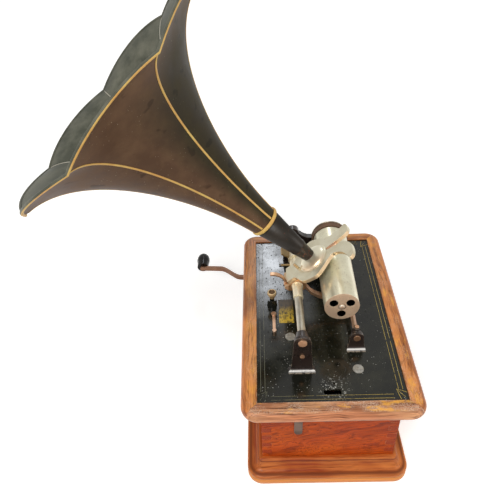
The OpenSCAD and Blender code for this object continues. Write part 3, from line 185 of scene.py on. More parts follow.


# Wood: bands that wander along the grain, thin dark streaks, pores, blotches, worn tops, chipped edges and
# painted shade lines in grooves
def woodMaterial(name, look):
    mat, tree, shader = startMaterial(name)
    coords = objectCoords(tree)
    place = split(tree, coords)
    facing = split(tree, faceNormal(tree))
    seed = look["seed"]
    along = coords
    if look["grain"] != "x":
        along = combine(tree, place[1], place[0], place[2])
    if look["grain"] == "ring":
        outX = calc(tree, "SUBTRACT", calc(tree, "ABSOLUTE", place[0]), look["half"][0])
        outY = calc(tree, "SUBTRACT", calc(tree, "ABSOLUTE", place[1]), look["half"][1])
        onSide = calc(tree, "GREATER_THAN", outX, outY)
        along = add(tree, "ShaderNodeMix", {0: onSide, 4: coords, 5: along}, data_type="VECTOR").outputs[1]
    if look["lean"]:
        lean = (0.0, look["lean"], 0.0)
        along = add(tree, "ShaderNodeMapping", {"Vector": along, "Rotation": lean}).outputs[0]
    wander = grainNoise(tree, along, "wander", (seed, 1.0, seed))
    push = times(tree, calc(tree, "SUBTRACT", wander, woodSet["noiseMiddle"]), look["wander"])
    grain = vectorMath(tree, "ADD", along, combine(tree, 0.0, push, push))
    bands = grainNoise(tree, grain, "bands", (seed, 0.0, seed), look["fine"])
    streaks = grainNoise(tree, grain, "streaks", (seed, seed, 0.0), look["fine"])
    pores = grainNoise(tree, along, "pores", (seed, seed, 0.0))
    broad = grainNoise(tree, along, "broad", (0.0, seed, 0.0))
    blotch = grainNoise(tree, along, "blotch", (seed, 3.0, 1.0))
    colour = blend(tree, ramp(tree, bands, *woodSet["bandEdge"]), look["dark"], look["mid"])
    lighter = blend(tree, woodSet["lightShare"], colour, look["light"])
    colour = blend(tree, ramp(tree, broad, *woodSet["lightEdge"]), colour, lighter)
    streakMask = times(tree, ramp(tree, streaks, *woodSet["streakEdge"]), look["streak"])
    colour = blend(tree, streakMask, colour, look["pore"])
    poreMask = times(tree, ramp(tree, pores, *woodSet["poreEdge"]), woodSet["poreShare"])
    colour = blend(tree, poreMask, colour, look["pore"])
    topMask = ramp(tree, facing[2], *woodSet["topEdge"])
    sideMask = times(tree, calc(tree, "SUBTRACT", 1.0, topMask), look["side"])
    colour = blend(tree, sideMask, colour, look["sideTone"], "MULTIPLY")
    worn = patches(tree, coords, *woodSet["wornPatch"])
    worn = times(tree, worn, patches(tree, coords, *woodSet["wornGrit"]), topMask, look["worn"])
    colour = blend(tree, worn, colour, look["wornTone"])
    goldMask = times(tree, ramp(tree, blotch, *woodSet["blotchEdge"]), topMask, look["gold"])
    colour = blend(tree, goldMask, colour, look["goldTone"])
    blur = times(tree, calc(tree, "SUBTRACT", broad, woodSet["noiseMiddle"]), woodSet["stainBlur"])
    stained = calc(tree, "ADD", vectorMath(tree, "DISTANCE", coords, look["stainAt"]), blur)
    stainMask = ramp(tree, stained, *woodSet["stainReach"], look["stain"], 0.0)
    colour = blend(tree, stainMask, colour, look["stainTone"], "MULTIPLY")
    # Painted shade: a thin dark line at each listed height stands in for the shade inside the moulding's
    # grooves
    for level in look["shadedGrooves"]:
        away = calc(tree, "ABSOLUTE", calc(tree, "SUBTRACT", place[2], level * mm))
        groove = ramp(tree, away, *woodSet["grooveShadeReach"], woodSet["grooveShade"], 0.0)
        colour = blend(tree, groove, colour, look["pore"])
    if "foot" in look:
        footMask = ramp(tree, place[2], *woodSet["footReach"], look["foot"], 0.0)
        colour = blend(tree, footMask, colour, look["footTone"])
    if look["grain"] != "ring":
        endFace = facing[0] if look["grain"] == "x" else facing[1]
        endMask = ramp(tree, calc(tree, "ABSOLUTE", endFace), *woodSet["endEdge"])
        endTone = blend(tree, patches(tree, coords, *woodSet["endGrit"]), look["endDark"], look["endLight"])
        colour = blend(tree, endMask, colour, endTone)
    rounded = roundEdge(tree, look["edge"])
    chips = times(tree, edgeMask(tree, rounded, woodSet["chipSharp"]),
                  patches(tree, coords, *woodSet["chipGrit"]), look["chip"])
    put(tree, shader.inputs["Base Color"], blend(tree, chips, colour, look["chipTone"]))
    smooth = look["rough"] - woodSet["roughLess"]
    dull = look["rough"] + woodSet["roughMore"]
    put(tree, shader.inputs["Roughness"], ramp(tree, broad, *woodSet["roughEdge"], smooth, dull))
    shader.inputs["Specular IOR Level"].default_value = look["shine"]
    shader.inputs["Coat Weight"].default_value = look["coat"]
    shader.inputs["Coat Roughness"].default_value = woodSet["coatRough"]
    hollows = calc(tree, "ADD", poreMask, streakMask)
    put(tree, shader.inputs["Normal"], bump(tree, hollows, woodSet["bump"], woodSet["bumpDepth"], rounded))
    return mat


metalSet = {"cloud": (5.0, 0.6, 0.4), "cloudEdge": (0.42, 0.68), "brush": (3.0, 0.6),
            "spots": (520.0, 2.0, 0.5), "spotEdge": (0.62, 0.7), "wearSharp": 3.0, "hollowShadeEdge": 0.0002,
            "roughEdge": (0.3, 0.7), "bumpDepth": 0.0002}


# Metal: a base tone clouded by a second one, dark spots, brushed roughness, worn edges, and a painted
# reflection tinting the faces turned to the near side
def metalMaterial(name, look):
    mat, tree, shader = startMaterial(name)
    coords = objectCoords(tree)
    cloud = noise(tree, coords, look["cloudScale"], *metalSet["cloud"])
    fine = noise(tree, stretch(tree, coords, look["brush"]), 1.0, *metalSet["brush"])
    rounded = roundEdge(tree, look["edge"])
    colour = blend(tree, ramp(tree, cloud, *metalSet["cloudEdge"]), look["base"], look["cloud"])
    # Painted reflection: faces turned towards minus Y take a warm near tone, standing in for brown and peach
    # light reflected from the wood and the horn
    facingY = split(tree, faceNormal(tree))[1]
    nearReflection = times(tree, ramp(tree, facingY, *look["nearReflectionReach"]), look["nearReflection"])
    colour = blend(tree, nearReflection, colour, look["nearReflectionTone"])
    spots = ramp(tree, noise(tree, coords, *metalSet["spots"]), *metalSet["spotEdge"])
    colour = blend(tree, times(tree, spots, look["spots"]), colour, look["spotTone"])
    wear = times(tree, edgeMask(tree, rounded, metalSet["wearSharp"]), look["wear"])
    colour = blend(tree, wear, colour, look["wearTone"])
    # Painted shade: within the given radius of the bore's axis, away from the near faces, the metal is
    # painted near black to stand in for the shade inside the hollow
    if "shadedHollow" in look:
        centre, radius = look["shadedHollow"]
        across = stretch(tree, vectorMath(tree, "SUBTRACT", coords, centre), (1.0, 0.0, 1.0))
        away = vectorMath(tree, "LENGTH", across)
        inside = ramp(tree, away, radius, radius + metalSet["hollowShadeEdge"], 1.0, 0.0)
        inside = times(tree, inside, calc(tree, "SUBTRACT", 1.0, nearReflection))
        colour = blend(tree, inside, colour, look["hollowShadeTone"])
    put(tree, shader.inputs["Base Color"], colour)
    shader.inputs["Metallic"].default_value = look["metal"]
    put(tree, shader.inputs["Roughness"], ramp(tree, fine, *metalSet["roughEdge"], *look["rough"]))
    put(tree, shader.inputs["Normal"], bump(tree, fine, look["bump"], metalSet["bumpDepth"], rounded))
    return mat


paintSet = {"cloud": (38.0, 4.0, 0.6), "cloudEdge": (0.4, 0.7), "grit": (420.0, 3.0, 0.6),
            "dotPlaces": (26.0, 3.0, 0.55, 0.5), "dotEdge": (0.42, 0.62), "dotSize": 0.17,
            "flakeEdge": (0.58, 0.64), "flakeShare": 0.6, "scuffScale": (900.0, 90.0, 300.0),
            "scuffDetail": 2.0, "scuffEdge": (0.66, 0.74), "wearSharp": 3.0, "wearEdge": (0.4, 0.56),
            "footEdge": (0.28, 0.44), "footHighlightFace": (-0.3, -0.6), "rightShadeEdge": (0.25, 0.65),
            "blotScale": (48.0, 48.0, 70.0), "blot": (2.0, 0.4), "blotEdge": (0.64, 0.68),
            "glossEdge": (0.35, 0.7), "fleckScale": (330.0, 210.0, 300.0), "fleck": (2.0, 0.5),
            "fleckEdge": (0.62, 0.68), "coatRough": 0.12, "rippleDepth": 0.001}


# Paint: a dark gloss with cloudy tone, white dots, long scuffs, worn or chipped edges, and where asked a
# painted highlight on a near-facing foot and painted shade on faces turned one way
def paintMaterial(name, look):
    mat, tree, shader = startMaterial(name)
    coords = objectCoords(tree)
    rounded = roundEdge(tree, look["edge"])
    cloud = noise(tree, coords, *paintSet["cloud"])
    grit = noise(tree, coords, *paintSet["grit"])
    colour = blend(tree, ramp(tree, cloud, *paintSet["cloudEdge"]), look["base"], look["cloud"])
    dotPlaces = ramp(tree, noise(tree, coords, *paintSet["dotPlaces"]), *paintSet["dotEdge"])
    specks = dots(tree, coords, look["speckScale"], paintSet["dotSize"], look["speckShare"])
    specks = times(tree, specks, dotPlaces, look["specks"])
    if "busy" in look:
        away = vectorMath(tree, "DISTANCE", coords, look["busy"])
        busy = ramp(tree, away, *look["busyReach"], paintSet["flakeShare"], 0.0)
        flakes = times(tree, ramp(tree, grit, *paintSet["flakeEdge"]), busy)
        specks = calc(tree, "MAXIMUM", specks, flakes)
    colour = blend(tree, specks, colour, look["speckTone"])
    scuff = noise(tree, stretch(tree, coords, paintSet["scuffScale"]), 1.0, paintSet["scuffDetail"])
    scuff = times(tree, ramp(tree, scuff, *paintSet["scuffEdge"]), look["scuffs"])
    colour = blend(tree, scuff, colour, look["scuffTone"])
    edges = edgeMask(tree, rounded, paintSet["wearSharp"])
    worn = times(tree, edges, ramp(tree, grit, *paintSet["wearEdge"]), look["wear"])
    colour = blend(tree, worn, colour, look["wearTone"])
    # Foot: low faces turned to the near side go pale in grit-broken patches, partly worn paint and partly a
    # painted highlight
    if "foot" in look:
        low = ramp(tree, split(tree, coords)[2], *look["foot"], 1.0, 0.0)
        nearReflection = ramp(tree, split(tree, faceNormal(tree))[1], *paintSet["footHighlightFace"])
        bare = times(tree, low, ramp(tree, grit, *paintSet["footEdge"]), nearReflection)
        colour = blend(tree, bare, colour, look["footTone"])
    # Painted shade: faces turned along the given way are darkened and greened, standing in for the side away
    # from the light; the dark blots laid on them are random
    if "rightShadeTone" in look:
        facing = vectorMath(tree, "DOT_PRODUCT", faceNormal(tree), look["shadeWay"])
        right = ramp(tree, facing, *paintSet["rightShadeEdge"])
        colour = blend(tree, right, colour, look["rightShadeTone"], "MULTIPLY")
        blot = noise(tree, stretch(tree, coords, paintSet["blotScale"]), 1.0, *paintSet["blot"])
        blot = ramp(tree, blot, *paintSet["blotEdge"], 0.0, look["blots"])
        colour = blend(tree, blot, colour, look["scuffTone"], "MULTIPLY")
    put(tree, shader.inputs["Base Color"], colour)
    shader.inputs["Metallic"].default_value = look["metal"]
    shader.inputs["Specular IOR Level"].default_value = look["shine"]
    gloss = ramp(tree, cloud, *paintSet["glossEdge"], *look["rough"])
    if "flecks" in look:
        fleck = noise(tree, stretch(tree, coords, paintSet["fleckScale"]), 1.0, *paintSet["fleck"])
        gloss = calc(tree, "MAXIMUM", gloss, ramp(tree, fleck, *paintSet["fleckEdge"], 0.0, look["flecks"]))
    put(tree, shader.inputs["Roughness"], gloss)
    shader.inputs["Coat Weight"].default_value = look["coat"]
    shader.inputs["Coat Roughness"].default_value = paintSet["coatRough"]
    put(tree, shader.inputs["Normal"], bump(tree, cloud, look["ripple"], paintSet["rippleDepth"], rounded))
    return mat


# Mesh helpers: a store collects grids of points and their faces, and becomes one piece
def newStore():
    return {"points": [], "faces": [], "mats": [], "count": 0}


# A grid of points: each face joins four neighbours, and closed columns join the last to the first
def addGrid(store, grid, closeCols=False, mat=0, flip=False):
    rows, cols = grid.shape[:2]
    index = np.arange(rows * cols).reshape(rows, cols) + store["count"]
    if closeCols:
        index = np.hstack([index, index[:, :1]])
    quads = np.stack([index[:-1, :-1], index[:-1, 1:], index[1:, 1:], index[1:, :-1]], -1).reshape(-1, 4)
    store["points"].append(grid.reshape(-1, 3))
    store["faces"] += (quads[:, ::-1] if flip else quads).tolist()
    store["mats"] += [mat] * len(quads)
    store["count"] += rows * cols


# Rings of a profile of (radius, height) turned about a local Z axis
def turnedRings(profile, count, centre=(0.0, 0.0)):
    turn = np.linspace(0.0, fullTurn, count, endpoint=False)
    line = np.asarray(profile, float)
    x = centre[0] + line[:, :1] * np.cos(turn)
    y = centre[1] + line[:, :1] * np.sin(turn)
    return np.stack([x, y, np.broadcast_to(line[:, 1:2], x.shape)], -1)


# One mesh from a store, riding on its body, in place of the CAD nodes that it hides
def makePiece(name, store, body, materials, hides=(), weld=False, near=1e-6):
    mesh = bpy.data.meshes.new(name)
    mesh.from_pydata(np.concatenate(store["points"]).tolist(), [], store["faces"])
    for mat in materials:
        mesh.materials.append(mat)
    mesh.polygons.foreach_set("material_index", np.array(store["mats"], dtype=np.int32))
    mesh.polygons.foreach_set("use_smooth", np.ones(len(store["faces"]), dtype=bool))
    if weld:
        shell = bmesh.new()
        shell.from_mesh(mesh)
        bmesh.ops.remove_doubles(shell, verts=shell.verts, dist=near)
        bmesh.ops.recalc_face_normals(shell, faces=shell.faces)
        shell.to_mesh(mesh)
        shell.free()
    mesh.validate()
    mesh.update()
    obj = bpy.data.objects.new(name, mesh)
    bpy.context.scene.collection.objects.link(obj)
    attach(obj, body)
    if hides:
        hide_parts(*hides)


# Wood looks: the top frame is worn and orange, the box and base are redder
oakLook = {"dark": tone(140, 78, 34), "mid": tone(206, 132, 72), "light": tone(228, 164, 98),
           "pore": tone(84, 40, 14), "endDark": tone(96, 40, 18), "endLight": tone(140, 66, 34),
           "sideTone": tone(255, 238, 226), "side": 0.5, "wornTone": tone(214, 184, 160), "worn": 0.3,
           "goldTone": tone(240, 172, 62), "gold": 0.3, "stainAt": (0.0, 0.0, -1.0), "stain": 0.0,
           "stainTone": tone(120, 76, 56), "chipTone": tone(244, 226, 204), "chip": 0.7, "shadedGrooves": (),
           "wander": 0.02, "streak": 0.65, "fine": 1.2, "lean": 0.0, "rough": 0.4, "coat": 0.12,
           "shine": 0.3, "edge": 0.0014}
redLook = dict(oakLook, dark=tone(128, 42, 6), mid=tone(184, 70, 10), light=tone(200, 92, 26),
               pore=tone(84, 26, 4), endDark=tone(134, 46, 18), endLight=tone(160, 64, 28), side=0.0,
               worn=0.0, gold=0.0, chip=0.35, chipTone=tone(226, 176, 120), coat=0.05, shine=0.1)
frontOak = woodMaterial("oakFrontRail", dict(
    oakLook, grain="x", seed=1.3, worn=0.7, gold=0.7, dark=tone(112, 64, 38), mid=tone(200, 134, 94),
    light=tone(228, 176, 130), wornTone=tone(206, 182, 160), streak=0.9, wander=0.012))
rearOak = woodMaterial("oakRearRail", dict(oakLook, grain="x", seed=6.2))
leftOak = woodMaterial("oakLeftRail", dict(
    oakLook, grain="y", seed=4.1, stain=0.85, stainAt=(-0.088, 0.022, 0.155)))
rightOak = woodMaterial("oakRightRail", dict(oakLook, grain="y", seed=8.8, chip=1.0, gold=0.5))
panelX = woodMaterial("oakEndPanel", dict(
    redLook, grain="x", seed=7.7, wander=0.05, streak=0.75, fine=1.7, lean=0.22))
panelY = woodMaterial("oakSidePanel", dict(redLook, grain="y", seed=9.2, wander=0.05))
# The base moulding takes painted shade lines at its groove heights
baseWood = woodMaterial("oakBase", dict(
    redLook, grain="ring", seed=3.4, half=(0.083, 0.142), coat=0.2, wander=0.008, streak=0.45, fine=1.6,
    shadedGrooves=(8.0, 15.6, 28.3), mid=tone(170, 86, 36), light=tone(208, 126, 62), foot=0.5,
    footTone=tone(250, 172, 96)))

# Painted looks
japanLook = {"base": tone(16, 17, 11), "cloud": tone(34, 34, 24), "speckTone": tone(214, 214, 206),
             "specks": 0.9, "speckScale": 330.0, "speckShare": 0.35, "scuffTone": tone(120, 120, 112),
             "scuffs": 0.12, "wearTone": tone(150, 140, 120), "wear": 0.5, "metal": 0.0,
             "rough": (0.12, 0.24), "coat": 0.0, "shine": 0.5, "edge": 0.0008, "ripple": 0.03}
japan = paintMaterial("blackJapan", dict(
    japanLook, busy=(0.004, -0.130, 0.153), busyReach=(0.006, 0.022), flecks=0.8))
# The casting's foot takes a pale near face that is partly wear and partly a painted highlight
casting = paintMaterial("blackCasting", dict(
    japanLook, base=tone(26, 18, 14), cloud=tone(46, 32, 26), specks=0.25, wearTone=tone(206, 186, 160),
    wear=0.5, rough=(0.22, 0.36), coat=0.4, edge=0.0012, foot=(0.1544, 0.1556),
    footTone=tone(224, 222, 218)))
collarPaint = paintMaterial("collarBlack", dict(japanLook, specks=0.2, coat=0.4))
ebony = paintMaterial("knobBlack", dict(
    japanLook, base=tone(12, 11, 10), cloud=tone(26, 22, 18), specks=0.15, wearTone=tone(60, 52, 42),
    wear=0.2, shine=0.25, rough=(0.1, 0.18)))
hornLook = dict(japanLook, base=tone(84, 62, 46), cloud=tone(102, 78, 58), speckTone=tone(196, 178, 150),
                specks=0.7, speckScale=420.0, speckShare=0.28, scuffTone=tone(96, 82, 66), wear=0.0,
                rough=(0.46, 0.6), shine=0.12, edge=0.0004)
# The bell's panels turned to the right and up take painted shade
enamel = paintMaterial("hornEnamel", dict(
    hornLook, rightShadeTone=tone(150, 172, 156), shadeWay=(0.7, 0.0, 0.7), blots=0.45))
enamelInside = paintMaterial("hornInside", dict(
    hornLook, base=tone(72, 74, 64), cloud=tone(104, 104, 92), speckTone=tone(150, 150, 136),
    rough=(0.36, 0.5), scuffs=0.3))
neckEnamel = paintMaterial("neckEnamel", dict(
    hornLook, base=tone(33, 28, 22), cloud=tone(46, 38, 30), busy=(-0.022, 0.004, 0.245),
    busyReach=(0.004, 0.016), speckTone=tone(150, 78, 52), rough=(0.32, 0.44), shine=0.25))
gilt = paintMaterial("hornGilt", dict(
    hornLook, base=tone(200, 150, 78), cloud=tone(212, 184, 104), speckTone=tone(120, 86, 44), specks=0.6,
    scuffTone=tone(140, 100, 56), scuffs=0.35, wearTone=tone(110, 80, 48), wear=0.3, metal=0.1, shine=0.4))
hide = paintMaterial("beltHide", dict(
    japanLook, base=tone(82, 58, 40), cloud=tone(110, 80, 56), speckTone=tone(150, 120, 90), specks=0.4,
    scuffTone=tone(140, 108, 80), scuffs=0.5, wearTone=tone(160, 126, 92), wear=0.8, rough=(0.55, 0.75),
    edge=0.0005))

# Metal looks
# The near-face keys give the painted warm reflection: full on the mandrel's and spindle's near ends, strong
# on the fork, the dome and the carriage block
nickelLook = {"base": tone(216, 212, 198), "cloud": tone(196, 186, 166), "spotTone": tone(110, 96, 78),
              "wearTone": tone(232, 210, 180), "cloudScale": 42.0, "brush": (900.0, 40.0, 900.0),
              "spots": 0.3, "wear": 0.4, "metal": 1.0, "rough": (0.28, 0.42), "bump": 0.04, "edge": 0.0007,
              "nearReflection": 0.0, "nearReflectionTone": tone(206, 168, 138), "nearReflectionReach": (-0.8, -0.95)}
evenBrush = (220.0, 220.0, 220.0)
nickel = metalMaterial("nickel", nickelLook)
# The mandrel is painted near black inside its bore, as shade
mandrelNickel = metalMaterial("mandrelNickel", dict(
    nickelLook, base=tone(232, 228, 202), cloud=tone(214, 206, 178), rough=(0.27, 0.37), metal=0.7,
    nearReflection=1.0, nearReflectionTone=tone(238, 206, 174), shadedHollow=((0.018, 0.0, 0.212), 0.0202),
    hollowShadeTone=tone(8, 7, 6)))
sleeveNickel = metalMaterial("sleeveNickel", dict(
    nickelLook, base=tone(240, 230, 202), cloud=tone(224, 208, 176), rough=(0.34, 0.46), metal=0.6))
spindleNickel = metalMaterial("spindleNickel", dict(
    nickelLook, nearReflection=1.0, nearReflectionTone=tone(196, 164, 136), metal=0.5))
forkMetal = metalMaterial("forkMetal", dict(
    nickelLook, base=tone(222, 216, 192), cloud=tone(206, 196, 166), spots=0.15,
    wearTone=tone(240, 226, 196), wear=0.7, brush=evenBrush, rough=(0.3, 0.44), nearReflection=0.8,
    nearReflectionTone=tone(222, 188, 146), nearReflectionReach=(-0.25, -0.6), metal=0.7))
domeNickel = metalMaterial("domeNickel", dict(
    nickelLook, base=tone(232, 226, 202), cloud=tone(218, 208, 180), spots=0.0, rough=(0.28, 0.34), bump=0.0,
    wear=0.0, edge=0.0001, brush=(40.0, 40.0, 40.0), nearReflection=0.6, nearReflectionTone=tone(206, 170, 134),
    nearReflectionReach=(-0.1, -0.5), metal=0.75))
blockMetal = metalMaterial("blockMetal", dict(
    nickelLook, base=tone(196, 178, 146), cloud=tone(206, 170, 134), wearTone=tone(226, 178, 140),
    nearReflection=0.8, nearReflectionTone=tone(222, 164, 116), brush=evenBrush, rough=(0.34, 0.48)))
copperLook = dict(nickelLook, base=tone(214, 164, 128), cloud=tone(226, 184, 148),
                  spotTone=tone(110, 70, 48), wearTone=tone(238, 206, 172), rough=(0.3, 0.46))
copper = metalMaterial("copper", copperLook)
pinkMetal = metalMaterial("pinkMetal", dict(copperLook, base=tone(206, 172, 146), cloud=tone(190, 150, 118)))
crankMetal = metalMaterial("crankMetal", dict(
    copperLook, base=tone(146, 112, 90), cloud=tone(120, 88, 70), wearTone=tone(196, 164, 136),
    rough=(0.36, 0.54)))
brass = metalMaterial("brass", dict(
    nickelLook, base=tone(196, 158, 92), cloud=tone(150, 116, 66), spotTone=tone(80, 58, 30),
    wearTone=tone(226, 196, 130), rough=(0.28, 0.46)))
tanMetal = metalMaterial("tanMetal", dict(
    nickelLook, base=tone(150, 126, 86), cloud=tone(168, 140, 98), wearTone=tone(186, 160, 120),
    rough=(0.4, 0.55), metal=0.7))
knobTan = metalMaterial("knobTan", dict(
    nickelLook, base=tone(206, 182, 140), cloud=tone(190, 150, 104), wearTone=tone(232, 214, 180),
    rough=(0.35, 0.5), metal=0.5))
knobDark = metalMaterial("knobDark", dict(
    nickelLook, base=tone(104, 78, 50), cloud=tone(84, 60, 38), wear=0.0, rough=(0.45, 0.6), metal=0.4))
steel = metalMaterial("steel", dict(
    nickelLook, base=tone(176, 176, 172), cloud=tone(148, 144, 138), rough=(0.25, 0.42)))
screwSteel = metalMaterial("screwSteel", dict(
    nickelLook, base=tone(186, 186, 180), cloud=tone(150, 146, 138), cloudScale=260.0, rough=(0.36, 0.55)))
darkSteel = metalMaterial("darkSteel", dict(
    nickelLook, base=tone(110, 92, 82), cloud=tone(76, 62, 54), wearTone=tone(176, 160, 146),
    rough=(0.34, 0.5)))

# Which look each CAD node takes
cadLooks = {
    frontOak: ("frame_front",),
    rearOak: ("frame_rear",),
    leftOak: ("frame_left",),
    rightOak: ("frame_right",),
    panelX: ("front_panel", "rear_panel", "bottom_board"),
    panelY: ("left_panel", "right_panel"),
    baseWood: ("base_moulding",),
    japan: ("bed_plate",),
    casting: ("front_pedestal", "guide_pedestal", "rear_bracket"),
    collarPaint: ("speed_collar",),
    ebony: ("crank_knob",),
    enamel: ("horn_bell",),
    neckEnamel: ("horn_neck",),
    gilt: ("horn_ribs", "horn_rim"),
    nickel: ("carriage_tube", "mandrel_pulley", "pulley_flange"),
    pinkMetal: ("stop_lever", "guide_rod"),
    sleeveNickel: ("carriage_sleeve",),
    mandrelNickel: ("mandrel_shell",),
    spindleNickel: ("mandrel_spindle",),
    forkMetal: ("lyre_fork",),
    domeNickel: ("reproducer_dome",),
    blockMetal: ("carriage_block",),
    copper: ("guide_arm", "lift_lever", "pedestal_screws"),
    crankMetal: ("crank_arm",),
    brass: ("case_hinge_leaves", "lid_hinge_leaves", "spring_barrel", "second_arbor", "pulley_arbor",
            "governor_spindle", "governor_weights"),
    tanMetal: ("feed_nut",),
    knobTan: ("speed_knob", "block_screws"),
    steel: ("motor_plate_front", "motor_plate_rear", "motor_pillars", "mainspring", "winding_arbor",
            "drive_pulley", "feed_screw", "diaphragm", "stylus_lever", "idler_right", "idler_left"),
    screwSteel: ("bed_screws",),
    darkSteel: ("crank_bush", "latch_slide"),
    hide: ("drive_belt",),
}
for look, names in cadLooks.items():
    for nodeName in names:
        data = cadNodes[nodeName].data
        data.materials.clear()
        data.materials.append(look)
missing = set(cadNodes) - {nodeName for names in cadLooks.values() for nodeName in names}
print("materials made, nodes without one:", sorted(missing))

# Base moulding: its profile carried round the case, with arcs at the corners
baseSet = {"half": (83.0, 142.0), "out": 20.0, "high": 32.0, "arc": 10, "inner": (0.02, 0.05), "bevel": 0.6,
           "footTop": 0.22, "footIn": 0.5, "groove": (0.235, 0.27), "grooveIn": 1.0, "bead": (-60, 76, 9),
           "beadOut": 3.2, "beadMiddle": 0.37, "beadRise": 0.1, "cove": (8, 91, 6), "coveOut": (0.8, 0.52),
           "coveRise": (0.86, 0.36), "fillet": ((0.25, 0.885), (0.25, 0.95), (0.22, 0.975), (0.12, 1.0))}


# The profile from the table up, heights as shares of the whole: a square foot, groove, bead, cove and fillet
def baseProfile(out, high):
    bead = np.radians(np.arange(*baseSet["bead"]))
    cove = np.radians(np.arange(*baseSet["cove"]))
    bevel = baseSet["bevel"]
    footTop = baseSet["footTop"] * high
    start, end = baseSet["inner"]
    foot = [(start, 0.0), (out - bevel, 0.0), (out, bevel), (out, footTop - bevel),
            (out - baseSet["footIn"], footTop)]
    groove = [(out - baseSet["grooveIn"], share * high) for share in baseSet["groove"]]
    beadX = out - baseSet["beadOut"] + baseSet["beadOut"] * np.cos(bead)
    beadZ = baseSet["beadMiddle"] * high + baseSet["beadRise"] * high * np.sin(bead)
    coveX = out * (baseSet["coveOut"][0] - baseSet["coveOut"][1] * np.sin(cove))
    coveZ = high * (baseSet["coveRise"][0] - baseSet["coveRise"][1] * np.cos(cove))
    beadLine = np.column_stack([beadX, beadZ])
    coveLine = np.column_stack([coveX, coveZ])
    fillet = np.array(baseSet["fillet"]) * (out, high)
    return np.vstack([foot, groove, beadLine, coveLine, fillet, (end, high)])


# Corner centres and unit directions round a rectangle: the path at any radius is centre + radius * way
def cornerPath(halfX, halfY, arc):
    quarters = np.array([0.0, 90.0, 180.0, 270.0])[:, None]
    turn = np.radians(np.linspace(0.0, 90.0, arc)[None, :] + quarters).ravel()
    corner = np.repeat(np.array([(1, 1), (-1, 1), (-1, -1), (1, -1)]), arc, axis=0) * (halfX, halfY)
    return corner, np.column_stack([np.cos(turn), np.sin(turn)])


baseLine = baseProfile(baseSet["out"], baseSet["high"])
corner, way = cornerPath(*baseSet["half"], baseSet["arc"])
baseFlat = corner[None, :, :] + baseLine[:, None, :1] * way[None, :, :]
baseTall = np.broadcast_to(baseLine[:, None, 1:], baseFlat[:, :, :1].shape)
baseStore = newStore()
addGrid(baseStore, np.concatenate([baseFlat, baseTall], -1) * mm, closeCols=True)
makePiece("baseMoulding", baseStore, "case", [baseWood], ("base_moulding",))
print("base moulding made")

# Horn: a cubic from the band to the mouth, turned about the horn's axis, each panel bulged between its seams
hornSet = {"origin": (-13.9907, 10.0, 235.621), "tilt": 45.2, "panels": 7, "cols": 18, "rows": 72,
           "curve": ((82.0, 18.3), (170.8, 26.521), (291.568, 71.92), (304.0, 141.0)), "sheet": 0.8,
           "petal": 8.5, "bulge": 0.01, "mouth": 141.0, "firstSeam": -91.9, "round": 96}
tilt = math.radians(hornSet["tilt"])
hornAxes = np.array([[math.sin(tilt), 0.0, math.cos(tilt)],
                     [0.0, 1.0, 0.0],
                     [-math.cos(tilt), 0.0, math.sin(tilt)]])
hornLine = np.array(hornSet["curve"])
firstSeam = np.radians(hornSet["firstSeam"])


# From the horn's own axes to the frame: the local point along the axes, plus the origin, in metres
def hornPlace(local):
    return (np.asarray(local, float) @ hornAxes + np.array(hornSet["origin"])) * mm


# The cubic's point in (distance, radius) at u, from its four control points
def hornCurve(u):
    u = np.asarray(u, float)[..., None]
    start = (1 - u)**3 * hornLine[0] + 3 * u * (1 - u)**2 * hornLine[1]
    return start + 3 * u**2 * (1 - u) * hornLine[2] + u**3 * hornLine[3]


# The cubic's unit direction at u
def hornWay(u):
    u = np.asarray(u, float)[..., None]
    legs = hornLine[1:] - hornLine[:-1]
    v = 3 * (1 - u)**2 * legs[0] + 6 * u * (1 - u) * legs[1] + 3 * u**2 * legs[2]
    return v / np.linalg.norm(v, axis=-1, keepdims=True)


# A bell point: the curve at u, pushed out by h, plus the panel's bulge and petal between its seams
def bellLocal(u, turn, h):
    u, turn = np.broadcast_arrays(np.asarray(u, float), np.asarray(turn, float))
    across = 2 * (turn * hornSet["panels"] % 1.0) - 1
    rise = 1 - across**2
    way = hornWay(u)
    point = hornCurve(u) + h * np.stack([-way[..., 1], way[..., 0]], -1)
    t = point[..., 0] + rise * hornSet["petal"] * u**4
    r = point[..., 1] + rise * hornSet["bulge"] * u * hornSet["mouth"]
    a = firstSeam + fullTurn * turn
    return np.stack([r * np.cos(a), r * np.sin(a), t], -1)


bellStore = newStore()
bellUs = np.linspace(0.0, 1.0, hornSet["rows"])[:, None]
seamGap = 1e-9  # keeps a panel's last column on its own side of the seam
for panel in range(hornSet["panels"]):
    turns = (panel + np.linspace(0.0, 1.0 - seamGap, hornSet["cols"])[None, :]) / hornSet["panels"]
    addGrid(bellStore, hornPlace(bellLocal(bellUs, turns, 0.0)), mat=0)
    addGrid(bellStore, hornPlace(bellLocal(bellUs, turns, -hornSet["sheet"])), mat=1, flip=True)
makePiece("hornBell", bellStore, "horn", [enamel, enamelInside], ("horn_bell",))

